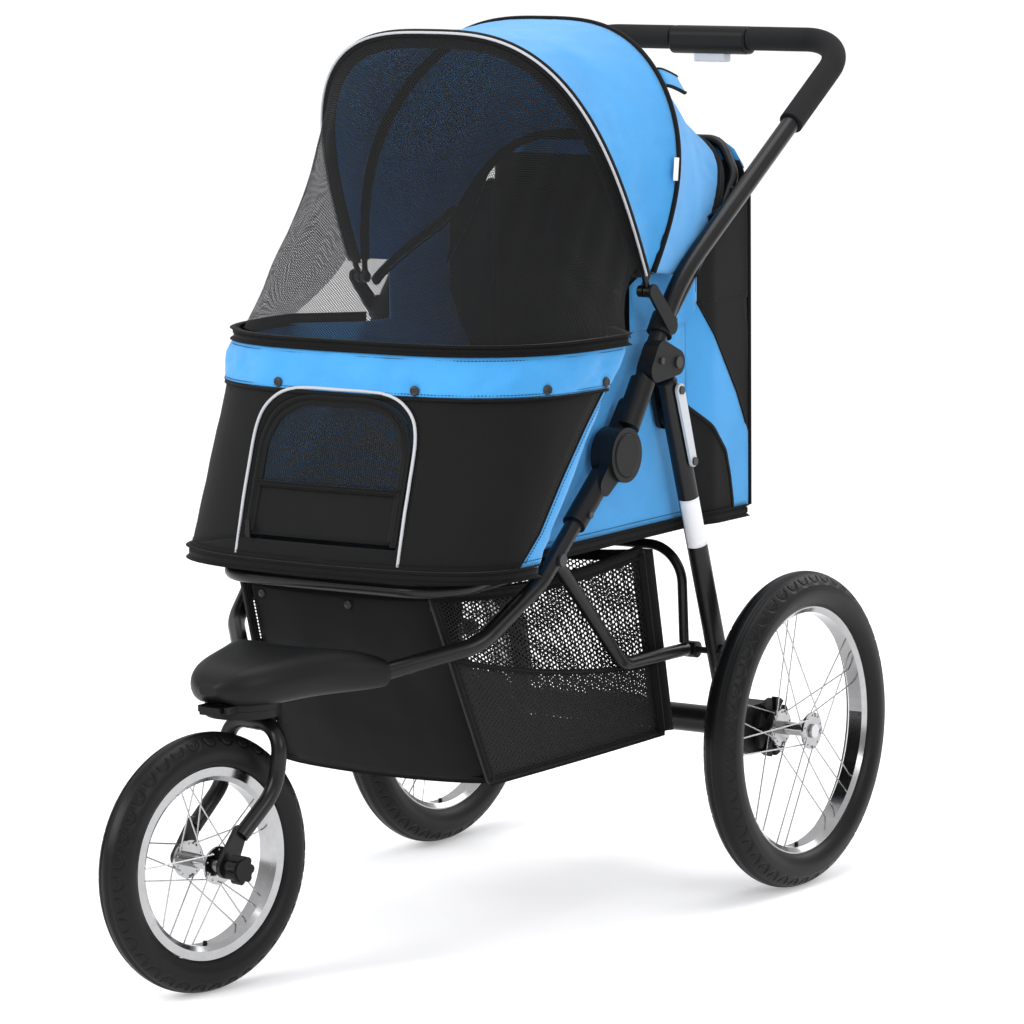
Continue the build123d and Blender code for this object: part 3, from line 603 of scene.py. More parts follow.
for label, side in SIDES:
    grid = wall_patch(front_edge, lambda z: side_at(PATCH_Y, z),
                      lambda t: hem_z(0.7 + t), 692, 61, 33, side)
    cabin_cloth("cabin_side_" + label, grid, "fabric_blue", 7.0 + side, ripple=4.0)
    grid = wall_patch(lambda z: side_at(PATCH_Y, z), lambda z: side_at(patch_edge(z), z),
                      lambda t: 457, 594, 13, 21, side)
    cabin_cloth("cabin_patch_" + label, grid, "fabric_black", 9.0 + side, ripple=0)
    grid = wall_patch(lambda z: side_at(max(patch_edge(z), PATCH_Y), z), lambda z: side_at(rear_edge(z), z),
                      lambda t: 459, 716, 17, 33, side)
    cabin_cloth("cabin_triangle_" + label, grid, "fabric_blue", 11.0 + side, ripple=1.0)
    grid = wall_patch(lambda z: side_at(rear_edge(z), z), lambda z: 3.02, lambda t: 500, 718, 15, 31, side)
    cabin_cloth("cabin_rear_side_" + label, grid, "fabric_black", 13.0 + side, ripple=1.0)
    for part, low, y_from, y_to, look in (("upper", 690, -226, -88, "fabric_blue"),
                                          ("peak", 713, -90, 19, "fabric_black")):
        def slope_point(i, j):
            """Point of a side panel above the rim."""
            y = y_from + (y_to - y_from) * j / 18
            z = low + (slope_top((y - SLOPE_Y) / SLOPE_RUN) - low) * i / 12
            return wall(side * side_at(y, z), z)

        cabin_cloth("cabin_side_" + part + "_" + label, grid_of(13, 19, slope_point), look, 15.0 + side,
                    ripple=1.0)


def rear_wall(z_low, z_high, rows, out=0.0):
    """Flat grid of the rear wall, which leans in and narrows towards the rear hoop's bow."""
    def spot(i, j):
        z = z_low + (z_high - z_low) * i / (rows - 1)
        half = np.interp(z, (850, 872, 892, 904), (184, 178, 166, 146))
        return half * (1 - j / 20.0), np.interp(z, (838, 904), (21, 15)) + out, z

    return grid_of(rows, 41, spot)


cabin_cloth("cabin_rear_panel", rear_wall(460, 878, 37), "fabric_black", 17.0, ripple=3.0)
valance = wrinkle(rear_wall(868, 905, 9, 2.5), 60.0, 1.0, 19.0)
valance_piece = sheet_piece("rear_hoop_valance", valance, "fabric_blue", "upper_frame", 1.0)
declare(valance)


# Seams, piping, hem and zip of the cabin.
def trim(name, points, count, profile, look="black_binding", up=(0, 0, 1)):
    """Piping, tape or hem of the cabin or basket, along a line of count points."""
    crumple(sweep_piece(name, resample(points, count), profile, look, "seat_frame", up))


fs = np.concatenate([np.linspace(-2.95, 0, 90), np.linspace(0, 2.95, 90)[1:]])
trim("cabin_hem", [wall(f, hem_z(f) - 4.0, 0.8) for f in fs], 260, tape_profile(3.2, 14.0))
trim("band_lower_edge", [wall(f, BAND_Z - 3, 1.8) for f in np.linspace(-1, 1, 121)], 160,
     tape_profile(2.0, 5.0))
rim_fs = np.linspace(-1, 1, 141)
trim("rim_zip_tape", [wall(f, 696.5, 2.4) for f in rim_fs], 200, tape_profile(2.0, 13.0))


def zip_teeth(name, points, count, size=1.3):
    """Interlocked coil of a zip along a line: one small lens for each of count teeth."""
    line = resample(points, count)
    vertices, faces = [], []
    tangents, sides, tops = frames_along(line, (0, 0, 1))
    for i in range(len(line) - 1):
        shift = tops[i] * (0.8 if i % 2 else -0.8)
        for a, b, c in ((-1, 0, 0), (0, -1, 0), (1, 0, 0), (0, 1, 0), (0, 0, 1)):
            vertices.append(tuple(line[i] + shift + tangents[i] * a * size * 0.45 + tops[i] * b * size
                                  + sides[i] * c * size * 0.7))
        k = 5 * i
        faces += [(k, k + 1, k + 4), (k + 1, k + 2, k + 4), (k + 2, k + 3, k + 4), (k + 3, k, k + 4),
                  (k + 3, k + 2, k + 1, k)]
    crumple(make_piece(name, vertices, faces, "black_plastic", "seat_frame", smooth=False))


def door_line(inset, out, shift=0.0):
    """Line on the cabin's front around the door, inset from the hole and out of the cloth."""
    return [wall(bow_at(x - shift, z), z, out) for x, z in door_outline(inset, 120)]


zip_teeth("rim_zip_teeth", [wall(f, 698.5, 4.2) for f in rim_fs], 420)
FOOT_Z, FOOT_STRETCH = 520, 1.2
arch_path = [(x, y, z if z > FOOT_Z else FOOT_Z - (FOOT_Z - z) * FOOT_STRETCH)
             for x, y, z in door_line(-8.0, 2.6, 3)]
trim("door_piping", arch_path, 160, round_profile(1.9), "silver_piping", (0, -1, 0))
trim("door_zip_tape", door_line(3.2, 1.8), 160, tape_profile(8.0, 1.6), up=(0, -1, 0))
zip_teeth("door_zip_teeth", door_line(4.0, 3.4), 260)
for label, side in SIDES:
    for name, edge, out, z_low, z_high, profile in (
            ("front_seam_", front_edge, 1.2, HEM_Z, BAND_Z, round_profile(1.3, 8)),
            ("patch_binding_", lambda z: side_at(patch_edge(z), z), 1.4, 459, 596, tape_profile(5.0, 1.8)),
            ("rear_seam_", lambda z: side_at(rear_edge(z), z), 1.4, 560, 716, round_profile(1.4, 8)),
            ("corner_binding_", lambda z: 3.0, 1.0, 460, 838, round_profile(2.6))):
        trim(name + label, [wall(side * edge(z), z, out) for z in np.linspace(z_low, z_high, 40)], 60,
             profile, up=(side, 0, 0))
    trim("slope_binding_" + label, [wall(side * side_at(SLOPE_Y + SLOPE_RUN * t, 720), slope_top(t), 0.8)
                                    for t in np.linspace(0, 1, 40)], 60, tape_profile(3.0, 10.0),
         up=(0, -0.5, 1))
trim("rear_top_binding", [(x, CORNER_Y, 839) for x in np.linspace(184, -184, 40)], 60,
     tape_profile(3.0, 10.0))


def dome(centre, normal, radius, height, around=18):
    """Points and faces of a pressed snap head."""
    normal = np.array(normal, float) / np.linalg.norm(normal)
    a = np.cross(normal, (0, 0, 1.0))
    a /= np.linalg.norm(a)
    b = np.cross(normal, a)
    rows = [(radius, -0.6), (radius, 0.2 * height), (radius * 0.86, 0.72 * height),
            (radius * 0.62, height), (radius * 0.5, height * 0.82), (radius * 0.2, height * 0.9)]
    vertices = [tuple(np.array(centre) + normal * h + (a * math.cos(2 * math.pi * i / around)
                                                       + b * math.sin(2 * math.pi * i / around)) * r)
                for r, h in rows for i in range(around)]
    faces = [(r * around + i, r * around + (i + 1) % around, (r + 1) * around + (i + 1) % around,
              (r + 1) * around + i) for r in range(len(rows) - 1) for i in range(around)]
    faces.append(tuple(range((len(rows) - 1) * around, len(rows) * around)))
    return vertices, faces


def merged(name, parts, look, body, smooth=True):
    """One piece from several (points, faces) pairs."""
    vertices, faces = [], []
    for part_vertices, part_faces in parts:
        start = len(vertices)
        vertices += part_vertices
        faces += [tuple(start + k for k in face) for face in part_faces]
    return make_piece(name, vertices, faces, look, body, smooth=smooth)


snap_parts = []
for f in (-0.62, -0.20, 0.22, 0.56, 0.78):
    spot = np.array(wall(f, BAND_Z + 6, 5.0))
    snap_parts.append(dome(spot, spot - np.array(wall(f, BAND_Z + 6, 0)), 5.8, 2.6))
crumple(merged("band_snaps", snap_parts, "fastener_black", "seat_frame"))

# Stitches, as short thread lengths a little proud of the cloth.
stitch_parts = []


def stitch(line, pitch=4.2, length=2.8, thick=0.45):
    """Add a row of stitches along a line on the cabin's wall."""
    line = np.array(line, float)
    run = run_of(line)
    for at in np.arange(2, run[-1] - length, pitch):
        a = np.array([np.interp(at, run, line[:, i]) for i in range(3)])
        b = np.array([np.interp(at + length, run, line[:, i]) for i in range(3)])
        n = outward(a)
        w = np.cross(b - a, n)
        w = w / (np.linalg.norm(w) + 1e-9) * thick
        m = (a + b) / 2 + n * thick * 1.3
        base = [a, a + w, m + w, b + w, b, b - w, m - w, a - w]
        stitch_parts.append(([tuple(p) for p in base + [m + n * 0.15]],
                             [(0, 1, 2, 8), (8, 2, 3, 4), (8, 4, 5, 6), (0, 8, 6, 7)]))


def outward(point):
    """Roughly outward direction from the cabin's middle axis."""
    v = np.array([point[0], point[1] + 330, 0.0])
    return v / (np.linalg.norm(v) + 1e-9)


for z in (BAND_Z + 2, 686):
    stitch(resample([wall(f, z, 2.9) for f in np.linspace(-0.98, 0.98, 121)], 200))
for side in (-1, 1):
    for beside in (0.018, -0.018):
        stitch([wall(side * (front_edge(z) + beside), z, 1.2)
                for z in np.linspace(HEM_Z + 8, BAND_Z - 6, 60)])
    stitch([wall(side * f, hem_z(f) + 9, 1.0) for f in np.linspace(0.02, 2.0, 120)])
stitch(door_line(-9.0, 1.6))
crumple(merged("cabin_stitching", stitch_parts, "black_binding", "seat_frame",
               smooth=False))

# The cabin's floor mat: a quilted pad with its seams pressed in.
MAT_ROWS, MAT_COLS = 49, 41
MAT_FRONT, MAT_LENGTH, MAT_HALF, QUILT_PITCH = -560, 565, 158.0, 113


def mat_point(i, j, thick):
    """Point of the mat's top (thick 1) or underside (thick 0)."""
    y = MAT_FRONT + MAT_LENGTH * i / (MAT_ROWS - 1)
    half = MAT_HALF if y > -480 else MAT_HALF * (1 - ((-480 - y) / 100) ** 3 * 0.4)
    edge = min(1.0, 12 * min(i, MAT_ROWS - 1 - i) / MAT_ROWS, 10 * min(j, MAT_COLS - 1 - j) / MAT_COLS)
    seam = min(abs(math.sin(math.pi * (y - MAT_FRONT) / QUILT_PITCH)), 1.0) ** 0.4
    low = 461.5 + 0.0316 * (y - MAT_FRONT) * 0.3
    high = 1.0 + 8.5 * edge ** 0.5 * (0.55 + 0.45 * seam)
    return half * (2 * j / (MAT_COLS - 1) - 1), y, low + thick * high


vertices = [mat_point(i, j, thick) for thick in (1, 0) for i in range(MAT_ROWS) for j in range(MAT_COLS)]
layer = MAT_ROWS * MAT_COLS
faces = grid_faces(MAT_ROWS, MAT_COLS)
faces += [tuple(layer + k for k in (a, d, c, b)) for a, b, c, d in grid_faces(MAT_ROWS, MAT_COLS)]
rim_loop = (list(range(MAT_COLS - 1)) + list(range(MAT_COLS - 1, layer - 1, MAT_COLS))
            + list(range(layer - 1, layer - MAT_COLS, -1)) + list(range(layer - MAT_COLS, 0, -MAT_COLS)))
faces += [(a, a + layer, b + layer, b) for a, b in zip(rim_loop, rim_loop[1:] + rim_loop[:1])]
mat_uvs = [(p[0] * MM, p[1] * MM) for p in vertices]
floor_mat = make_piece("cabin_floor_mat", vertices, faces, "fabric_black", "seat_frame",
                       mat_uvs)
crumple(floor_mat)
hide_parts("cabin")

# ------------------------------------------------------------------ the rolled door
DOOR_ROWS, DOOR_COLS, SOLID_ROWS = 41, 45, 10
door_edge = door_outline(5.0, 161)
left_edge, right_edge = door_edge[:81], door_edge[80:][::-1]


def door_point(i, j):
    """Point of the door between its two edges."""
    k = 80 * i // (DOOR_ROWS - 1)
    x, z = left_edge[k] + (right_edge[k] - left_edge[k]) * j / (DOOR_COLS - 1)
    return wall(bow_at(x, z), z, -0.8)


door_grid = grid_of(DOOR_ROWS, DOOR_COLS, door_point)
door_grid = wrinkle(door_grid, 70.0, 3.0, 21.0)
door_net = sheet_piece("door_net", door_grid, "mesh_black", "front_door", 0.9,
                       keep=lambda i: i >= SOLID_ROWS)
declare(door_grid[SOLID_ROWS:])
door_band = sheet_piece("door_lower_band", door_grid, "fabric_black", "front_door", 1.2,
                        keep=lambda i: i < SOLID_ROWS)
declare(door_grid[:SOLID_ROWS + 1])
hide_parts("front_door")
sweep_piece("door_band_seam", resample(door_grid[SOLID_ROWS] + np.array([0, -1.5, 0]), 60),
            tape_profile(2.0, 7.0), "black_binding", "front_door")
sweep_piece("door_edge_tape", resample(door_line(8.5, 0.6), 150), tape_profile(6.5, 1.8), "black_binding",
            "front_door", up=(0, -1, 0))

# ------------------------------------------------------------------ canopy
PIVOT = (-240.0, 742.0)
FRONT_LIFT, FRONT_HEIGHT, FRONT_HALF = 114.7, 329.0, 207.0
MID_LIFT, MID_HEIGHT, MID_HALF, MID_BULGE = 72.8, 318.0, 198.0, 0.12
REAR_LIFT, REAR_HEIGHT, REAR_HALF, REAR_FOOT = 50.4, 284.0, 180.5, (-166.0, 685.0)
ARC = 121
SKIN = 5.2
front_arc = arch(FRONT_HALF + SKIN, FRONT_HEIGHT + SKIN, PIVOT, FRONT_LIFT, 3.0, ARC)
mid_arc = arch(MID_HALF + SKIN, MID_HEIGHT + SKIN, PIVOT, MID_LIFT, 3.0, ARC, MID_BULGE)
rear_arc = arch(REAR_HALF + SKIN, REAR_HEIGHT + SKIN, REAR_FOOT, REAR_LIFT, 4.5, ARC)
trimmed = slice(3, ARC - 3)
rear_edge_line = resample(rear_arc[12:ARC - 12], ARC - 6)
INSIDE = (0, -240, 760)


def fan_pull(grid, depth=5.0):
    """Cloth between two hoops dips a little and puckers at the seams."""
    rows, cols = grid.shape[:2]

    def spot(i, j):
        t = i / (rows - 1)
        inward = np.array(INSIDE, float) - grid[i, j]
        inward /= np.linalg.norm(inward)
        pucker = 2.4 * math.sin(j * 2.1 + 3 * math.sin(j * 0.37)) * (2 * t - 1) ** 2 * 4 * t * (1 - t)
        return grid[i, j] + inward * (depth * 4 * t * (1 - t) + pucker)

    return grid_of(rows, cols, spot)


canopy_front = wrinkle(fan_pull(between(mid_arc[trimmed], front_arc[trimmed], 25)), 85.0, 4.0, 31.0)
front_cloth = sheet_piece("canopy_front_cloth", canopy_front, "fabric_blue", None, 1.2)
declare(canopy_front)
canopy_rear = wrinkle(fan_pull(between(rear_edge_line, mid_arc[trimmed], 29)), 85.0, 4.0, 33.0)
rear_cloth = sheet_piece("canopy_rear_cloth", canopy_rear, "fabric_blue", None, 1.2)
declare(canopy_rear)
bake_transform(front_cloth)
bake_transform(rear_cloth)
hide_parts("canopy_front_panel")
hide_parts("canopy_rear_panel")


def hoop_out(point, distance):
    """A point moved away from the canopy's middle."""
    v = np.array(point, float) - np.array(INSIDE, float)
    return tuple(np.array(point) + v / np.linalg.norm(v) * distance)


def hoop_normal(lift):
    """Forward normal of the plane of a hoop that leans at lift."""
    return np.array([0, -math.sin(math.radians(lift)), math.cos(math.radians(lift))])


def arch_offset(lift, height, half, skin, ahead, bulge=0.0):
    """A hoop's line, grown by skin in its plane and moved ahead along its normal."""
    return arch(half + skin, height + skin, PIVOT, lift, 3.0, ARC, bulge) + hoop_normal(lift) * ahead


FRONT = FRONT_LIFT, FRONT_HEIGHT, FRONT_HALF
MID = MID_LIFT, MID_HEIGHT, MID_HALF
INNER = 8
for name, line, profile, look, body, lift in (
        ("front_hoop_piping", arch_offset(*FRONT, SKIN + 0.6, 3.4), round_profile(1.6), "silver_piping",
         "canopy_front", FRONT_LIFT),
        ("front_hoop_sleeve", arch_offset(*FRONT, 1.0, -1.0), tape_profile(12.5, 10.5), "fabric_black",
         "canopy_front", FRONT_LIFT),
        ("front_window_band", arch_offset(FRONT_LIFT, FRONT_HEIGHT - INNER, FRONT_HALF - INNER, 1.0, 5.2),
         tape_profile(13.0, 2.4), "black_binding", "canopy_front", FRONT_LIFT),
        ("mid_hoop_piping", arch_offset(*MID, SKIN + 1.6, 0, MID_BULGE), round_profile(3.0),
         "black_binding", "canopy_mid", MID_LIFT),
        ("mid_hoop_sleeve", arch_offset(*MID, 0.0, 0, MID_BULGE), tape_profile(9.5, 14.0),
         "fabric_black", "canopy_mid", MID_LIFT)):
    sweep_piece(name, line[trimmed], profile, look, body, up=hoop_normal(lift))
sweep_piece("rear_hoop_binding", rear_edge_line, tape_profile(3.5, 12.0), "black_binding",
            "upper_frame", up=hoop_normal(REAR_LIFT))

# ------------------------------------------------------------------ mesh window
WINDOW_ROWS = 33
rim_arc = arch(236, 248, (-300, 703), 180, 3.0, ARC)
hoop_line = arch_offset(FRONT_LIFT, FRONT_HEIGHT - 2, FRONT_HALF - 2, 0, 6.0)
flat_window = between(rim_arc, hoop_line, WINDOW_ROWS)


def window_point(i, j):
    """Point of the net, which hangs in and is pleated more towards the hoop."""
    t = i / (WINDOW_ROWS - 1)
    inward = np.array((0, -300, 760.0)) - flat_window[i, j]
    inward /= np.linalg.norm(inward)
    pleat = 2.6 * math.sin(j * 1.05 + 1.6 * math.sin(j * 0.21)) * (0.25 + t ** 2) * (1 - t ** 8)
    return flat_window[i, j] + inward * (9.0 * 4 * t * (1 - t) + pleat * (4 * t * (1 - t)) ** 0.5)


window = grid_of(WINDOW_ROWS, ARC, window_point)
window = wrinkle(window, 120.0, 5.0, 41.0)[:, 5:ARC - 5]
window_net = sheet_piece("window_net", window, "mesh_black", "canopy_front", 0.0)
declare(window)
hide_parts("mesh_window")
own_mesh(window_net)

# ------------------------------------------------------------------ storage basket
BASKET_LOW, BASKET_TOP = 198.0, 423.0


def basket_side(y_share, z_share, side, out=0.0):
    """Point of a side wall: y_share is 0 at the front seam and 1 at the rear, z_share 0 at the bottom."""
    z = BASKET_LOW + (BASKET_TOP - BASKET_LOW) * z_share
    front = -493 + (-580 + 493) * z_share
    rear = -124 + (-166 + 124) * z_share
    half_front, half_rear = 150 + (131 - 150) * z_share, 150 + (148 - 150) * z_share
    top_dip = -14 * math.sin(math.pi * y_share) * z_share ** 2
    belly = 5.0 * math.sin(math.pi * y_share) * math.sin(math.pi * min(1.0, z_share + 0.15))
    half = half_front + (half_rear - half_front) * y_share + belly + out
    return (side * half, front + (rear - front) * y_share, z + top_dip)


def basket_piece(name, grid, look, seed, ripple=2.0, thickness=1.0):
    """One panel of the basket."""
    grid = wrinkle(grid, 80.0, ripple, seed)
    piece = sheet_piece(name, grid, look, "seat_frame", thickness)
    declare(grid)
    crumple(piece)
    return piece


BASKET_ROWS, BASKET_COLS = 25, 41


def front_point(i, j):
    """Point of the bulging front panel, whose corners bend back to the seams."""
    v, u = i / (BASKET_ROWS - 1), 2 * j / (BASKET_COLS - 1) - 1
    x, y, z = basket_side(0, v, 1)
    bulge = 9.0 * (1 - u * u) * math.sin(math.pi * v ** 0.8)
    return x * u, y - bulge + 10.0 * abs(u) ** 6, z - 5 * (1 - u * u) * (1 - v) + 4 * u * u * v


front_panel = grid_of(BASKET_ROWS, BASKET_COLS, front_point)
basket_front = basket_piece("basket_front_panel", front_panel, "fabric_black", 51.0, 3.0, 1.4)
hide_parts("storage_basket")


def split_height(s):
    """Where the open net meets the close one, from the front seam to the rear one."""
    return 0.66 - 0.44 * s + 0.16 * s * s


shares = np.linspace(0, 1, 40)
for label, side in SIDES:
    for part, look, low_at, high_at in (("upper", "basket_net", split_height, lambda s: 1.0),
                                        ("lower", "close_net", lambda s: 0.0, split_height)):
        def net_point(i, j):
            """Point of a side net between its lower and upper edges."""
            s = j / 40
            return basket_side(s, low_at(s) + (high_at(s) - low_at(s)) * i / 14, side)

        basket_piece("basket_net_" + part + "_" + label, grid_of(15, 41, net_point), look, 53.0 + side,
                     1.2, 0.0)
    trim("basket_hem_" + label, [basket_side(s, 1.0, side, 0.8) for s in shares], 60,
         tape_profile(2.4, 13.0), up=(side * 0.05, 0, 1))
    trim("basket_split_seam_" + label, [basket_side(s, split_height(s), side, 0.8) for s in shares], 60,
         tape_profile(1.8, 6.0))
    for where, s, width in (("front", 0.0, 9.0), ("rear", 1.0, 20.0)):
        trim("basket_" + where + "_webbing_" + label,
             [basket_side(s, v, side, 0.9) for v in np.linspace(0.0, 1.0, 30)], 40,
             tape_profile(2.2, width), up=(0, 1, 0))
    trim("basket_foot_binding_" + label, [basket_side(s, 0.0, side, 0.6) for s in shares], 60,
         tape_profile(2.4, 8.0))


def bottom_point(i, j):
    """Point of the basket's bottom, which sags a little."""
    v, u = i / 30, 2 * j / 30 - 1
    sag = 5.0 * (1 - u * u) * 4 * v * (1 - v)
    return 149 * u, -493 + 369 * v, BASKET_LOW + 3.0 - sag * 0.6


def rear_point(i, j):
    """Point of the rear net."""
    v, u = i / 16, 2 * j / 30 - 1
    x, y, z = basket_side(1.0, v, 1)
    return x * u, y + 3 * (1 - u * u), z - 8 * (1 - u * u) * v ** 2


basket_piece("basket_bottom", grid_of(31, 31, bottom_point), "fabric_black", 57.0, 2.0, 1.4)
rear_net = grid_of(17, 31, rear_point)
basket_piece("basket_net_rear", rear_net, "basket_net", 59.0, 1.5, 0.0)
trim("basket_front_top_hem", front_panel[-1] + np.array([0, -1.0, -4.0]), 60, tape_profile(2.4, 12.0))
trim("basket_rear_top_hem", rear_net[-1] + np.array([0, 1.0, -4.0]), 60, tape_profile(2.4, 12.0))
trim("basket_front_foot_binding", front_panel[0] + np.array([0, -0.5, 1.0]), 60, tape_profile(2.2, 7.0))
snap_parts = [dome(front_panel[-3, round((u + 1) * 20)] + np.array([0, -2.6, 0]), (0, -1, 0.1), 5.0, 2.2)
              for u in (-0.86, 0.08, 0.93)]
crumple(merged("basket_snaps", snap_parts, "fastener_black", "seat_frame"))

# ------------------------------------------------------------------ tyres
STEER = math.radians(-11.0)


def tyre_piece(name, rim, turn, radius, section, flange, pitches, body, node):
    """Tyre with a ribbed tread and crescent grooves on its shoulders, plus its valve, around a rim node."""
    low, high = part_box(rim)
    centre = (Vector(low) + Vector(high)) / 2
    c, s = math.cos(turn), math.sin(turn)

    def spot(x, y, z):
        """A point of the wheel, turned with its fork and moved to its place."""
        return (centre.x / MM + x * c - y * s, (centre.y - AXLE_Y) / MM + x * s + y * c, centre.z / MM + z)

    around, across = pitches * 26, 72
    bead = math.pi - math.asin(min(0.999, 14.6 / section))
    vertices, faces, uvs = [], [], []
    centre_r = radius - section
    pitch_angle = 2 * math.pi / pitches
    for i in range(around):
        theta = 2 * math.pi * i / around
        for j in range(across + 1):
            phi = bead * (2 * j / across - 1)
            r = section
            lean = abs(phi)
            phase = (theta / pitch_angle + (0.5 if phi > 0 else 0.0)) % 1.0
            along_cell = (phase - 0.5) * pitch_angle * radius
            across_cell = (lean - 0.86) * section
            for least, arc_radius, half_width, depth in ((-4.5, 8.2, 1.6, 1.5), (-2.0, 4.2, 1.1, 0.8)):
                off = abs(math.hypot(along_cell, across_cell + 3.0) - arc_radius)
                if across_cell > least and off < half_width:
                    r -= depth * (1 - (off / half_width) ** 2)
            if 0.14 < lean < 0.22 or 0.30 < lean < 0.37:
                r -= 1.1
            if 1.20 < lean < 1.26:
                r += 0.5
            if lean > bead - 0.16:
                r -= 0.4
            x = r * math.sin(phi)
            ring = centre_r + r * math.cos(phi)
            vertices.append(spot(x, ring * math.cos(theta), ring * math.sin(theta)))
            uvs.append((theta * radius * MM, phi * section * MM))
    width = across + 1
    for i in range(around):
        k = (i + 1) % around
        for j in range(across):
            faces.append((i * width + j, k * width + j, k * width + j + 1, i * width + j + 1))
        faces.append((i * width + across, k * width + across, k * width, i * width))
    tyre = make_piece(name, vertices, faces, "rubber_tyre", body, uvs)
    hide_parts(node)
    tip = flange - 19
    profile = [(0.0, tip), (2.4, tip), (2.4, tip + 8), (2.9, tip + 8), (2.9, tip + 12), (2.2, tip + 12.5),
               (2.2, flange - 8), (3.1, flange - 8), (3.1, flange + 8), (0.0, flange + 8)]
    vertices, faces, turns = [], [], 16
    for r, h in profile:
        for i in range(turns):
            a = 2 * math.pi * i / turns
            vertices.append(spot(r * math.cos(a), r * math.sin(a), -h))
    for k in range(len(profile) - 1):
        for i in range(turns):
            m = (i + 1) % turns
            faces.append((k * turns + i, k * turns + m, (k + 1) * turns + m, (k + 1) * turns + i))
    make_piece(name + "_valve", vertices, faces, "black_plastic", body)


for label, _ in SIDES:
    tyre_piece("tyre_rear_" + label, "rear_rim_" + label, 0.0, 192.5, 23.8, 158.6, 46,
               "rear_wheel_" + label, "rear_tyre_" + label)
tyre_piece("tyre_front", "front_rim", STEER, 146.0, 21.4, 108.2, 36, "front_wheel", "front_tyre")

# ------------------------------------------------------------------ small parts
LOCK_POINT, LEG_FOOT = np.array([-190.0, 655.0]), np.array([-39.0, 192.5])
leg_way = (LEG_FOOT - LOCK_POINT) / np.linalg.norm(LEG_FOOT - LOCK_POINT)


def leg_point(distance, x):
    """Point along the left rear leg's axis."""
    return np.array([x, *(LOCK_POINT + leg_way * distance)])


LEG_X, LABEL_RADIUS = 195, 12.75


def label_point(i, j):
    """Point of the label, which is wrapped around the leg's tube."""
    a = math.radians(-18 + 11.3 * j)
    return leg_point(176 + 62 * i / 12, LEG_X) + LABEL_RADIUS * np.array(
        [math.cos(a), leg_way[1] * math.sin(a), -leg_way[0] * math.sin(a)])


label_grid = grid_of(13, 13, label_point)
label = sheet_piece("leg_label", label_grid, "label_white", "rear_legs", 0.25)
declare(label_grid)


def unit(v):
    """A vector's direction."""
    return v / np.linalg.norm(v)


tag_at = int(np.argmin(np.abs(mid_arc[:ARC // 2, 2] - 878)))
tag_run = unit(mid_arc[tag_at + 1] - mid_arc[tag_at - 1])
tag_root = np.array(hoop_out(mid_arc[tag_at], 3.6))
tag_way = np.array([0.05, -1.0, 0.1])
tag = grid_of(7, 5, lambda i, j: tag_root + tag_run * (i - 3) * 4.6 + tag_way * (3.0 + j * 2.7))
tag_piece = sheet_piece("canopy_tag", tag, "label_white", "canopy_mid", 0.5)
declare(tag)

# Plugs in the open tops of the leg tubes.
plug_parts = []
for side in (1, -1):
    x, y, z = leg_point(26.5, LEG_X)
    plug_parts.append(dome((side * x, y, z), (0, -leg_way[0], -leg_way[1]), 12.4, 6.0, around=32))
merged("leg_top_plugs", plug_parts, "black_plastic", "rear_legs")

# The pull tab of the rear flap, behind the mid hoop.
tab_root, tab_way = mid_arc[35], unit(rear_edge_line[33] - mid_arc[35])
tab_run = unit(mid_arc[36] - mid_arc[34])
tab_out = np.cross(tab_run, tab_way)
tab_out = tab_out * math.copysign(1.0, tab_out[2])
tab_grid = np.array([[tab_root + tab_way * (6 + 36 * v) + tab_out * (3.5 + 13 * v ** 0.7) + tab_run * w
                      for w in np.linspace(-13, 13, 9)] for v in np.linspace(0, 1, 9)])
tab = sheet_piece("canopy_pull_tab", tab_grid, "fabric_blue", "canopy_mid", 1.6)
declare(tab_grid)
tab_edge = np.vstack([tab_grid[:, 0], tab_grid[-1, 1:-1], tab_grid[::-1, -1]])
sweep_piece("canopy_pull_tab_binding", resample(tab_edge, 60), tape_profile(4.5, 2.6), "black_binding",
            "canopy_mid", up=tuple(tab_run))

# ------------------------------------------------------------------ zip pull on the rim
puller = []
for sign in (-1, 1):
    spot = np.array(wall(sign * 0.97, 694, 5.5))
    puller.append(dome(spot, np.array(outward(spot)), 4.2, 2.0))
crumple(merged("rim_zip_sliders", puller, "fastener_black", "seat_frame"))

# ------------------------------------------------------------------ floor, light and camera
def studio_floor(half=80.0):
    """A plain pale floor."""
    corners = [(-half, -half, 0), (half, -half, 0), (half, half, 0), (-half, half, 0)]
    mesh = bpy.data.meshes.new("studio_floor")
    mesh.from_pydata(corners, [], [(0, 1, 2, 3)])
    floor = bpy.data.objects.new("studio_floor", mesh)
    bpy.context.scene.collection.objects.link(floor)
    mat, tree, shader = start_material("studio_floor")
    patchy = noise_node(tree, coordinates(tree)[1], 3.0)
    fill(tree, shader, Base_Color=ramp(tree, patchy, (0.80, 0.80, 0.81), (0.84, 0.84, 0.85)), Roughness=0.9,
         Emission_Color=(1, 1, 1, 1), Emission_Strength=0.3)
    floor.data.materials.append(mat)


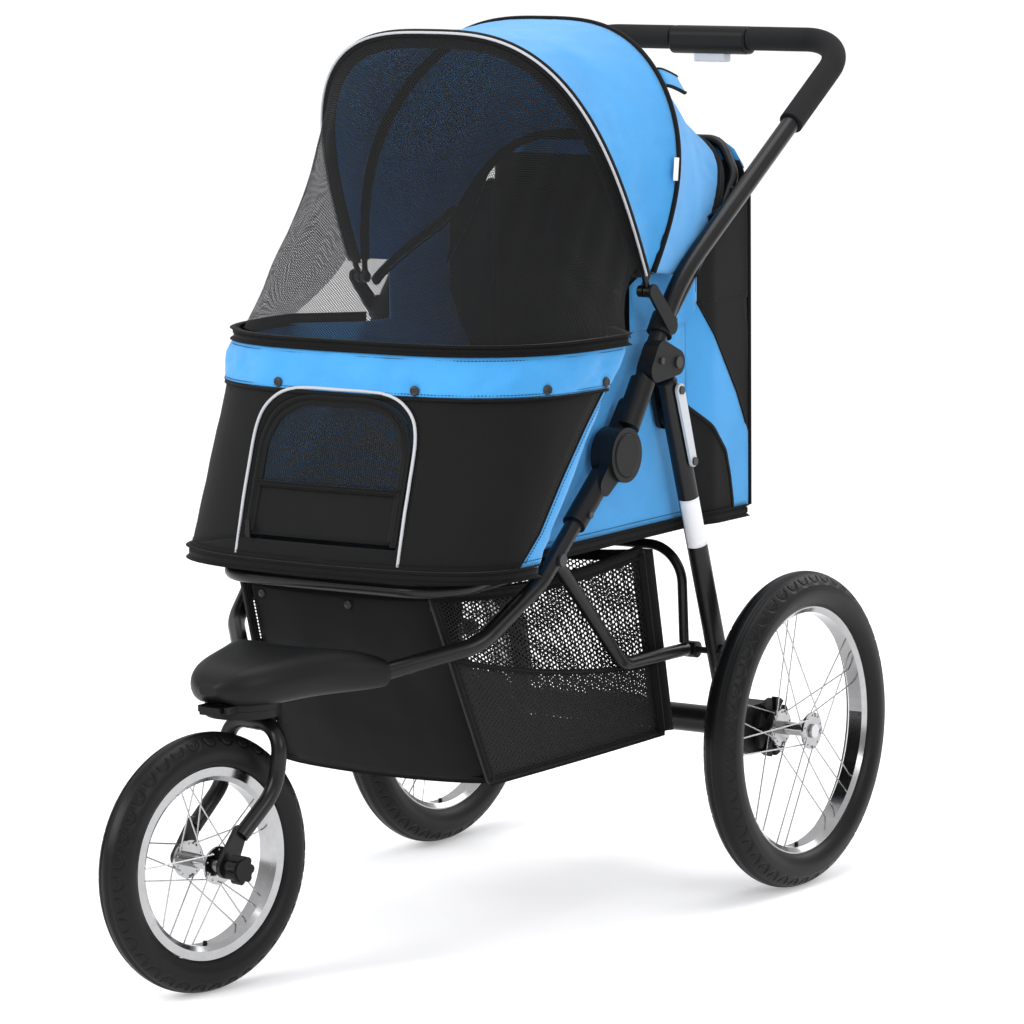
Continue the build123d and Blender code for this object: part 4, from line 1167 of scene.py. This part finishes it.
studio_floor()


def area_light(name, at, target, size, power):
    """Soft square light aimed at a point."""
    lamp = bpy.data.lights.new(name, "AREA")
    lamp.size = size
    lamp.energy = power
    holder = bpy.data.objects.new(name, lamp)
    holder.location = at
    holder.rotation_euler = (Vector(target) - Vector(at)).to_track_quat("-Z", "Y").to_euler()
    bpy.context.scene.collection.objects.link(holder)


area_light("key", (-1.8, -4.4, 3.0), (0, 0, 0.5), 2.4, 170)
area_light("side", (4.4, -1.4, 2.4), (0, 0, 0.5), 2.2, 60)
area_light("top", (0.3, 0.4, 4.2), (0, 0, 0.4), 2.6, 60)
area_light("rear", (1.2, 3.6, 2.6), (0, 0, 0.5), 2.0, 40)
world = bpy.data.worlds.new("studio_world")
bpy.context.scene.world = world
world.use_nodes = True
sky = world.node_tree
bands = add_node(sky, "ValToRGB", Fac=coordinates(sky)[0][2])
for spot, level in ((0.12, 0.5), (0.5, 0.95)):
    stop = bands.color_ramp.elements.new(spot)
    stop.color = (level, level, level * 1.02, 1)
for end, level in ((0, 0.55), (-1, 1.0)):
    bands.color_ramp.elements[end].color = (level, level, level * 1.02, 1)
fill(sky, sky.nodes["Background"], Color=bands.outputs[0], Strength=0.95)

azimuth, elevation, roll = (math.radians(a) for a in (33.97, 7.93, -0.53))
back = Vector((math.sin(azimuth) * math.cos(elevation), -math.cos(azimuth) * math.cos(elevation),
               math.sin(elevation)))
right = Vector((math.cos(azimuth), math.sin(azimuth), 0))
top = back.cross(right)
camera_right = right * math.cos(roll) + top * math.sin(roll)
camera_up = top * math.cos(roll) - right * math.sin(roll)
camera_data = bpy.data.cameras.new("camera")
camera_data.lens, camera_data.sensor_width = 175.77, 36.0
camera = bpy.data.objects.new("camera", camera_data)
camera.matrix_world = Matrix.Translation((3.3121, -4.78292, 1.2920)) @ Matrix(
    (camera_right, camera_up, back)).transposed().to_4x4()
bpy.context.scene.collection.objects.link(camera)
bpy.context.scene.camera = camera
bpy.context.scene.view_settings.view_transform = "Standard"
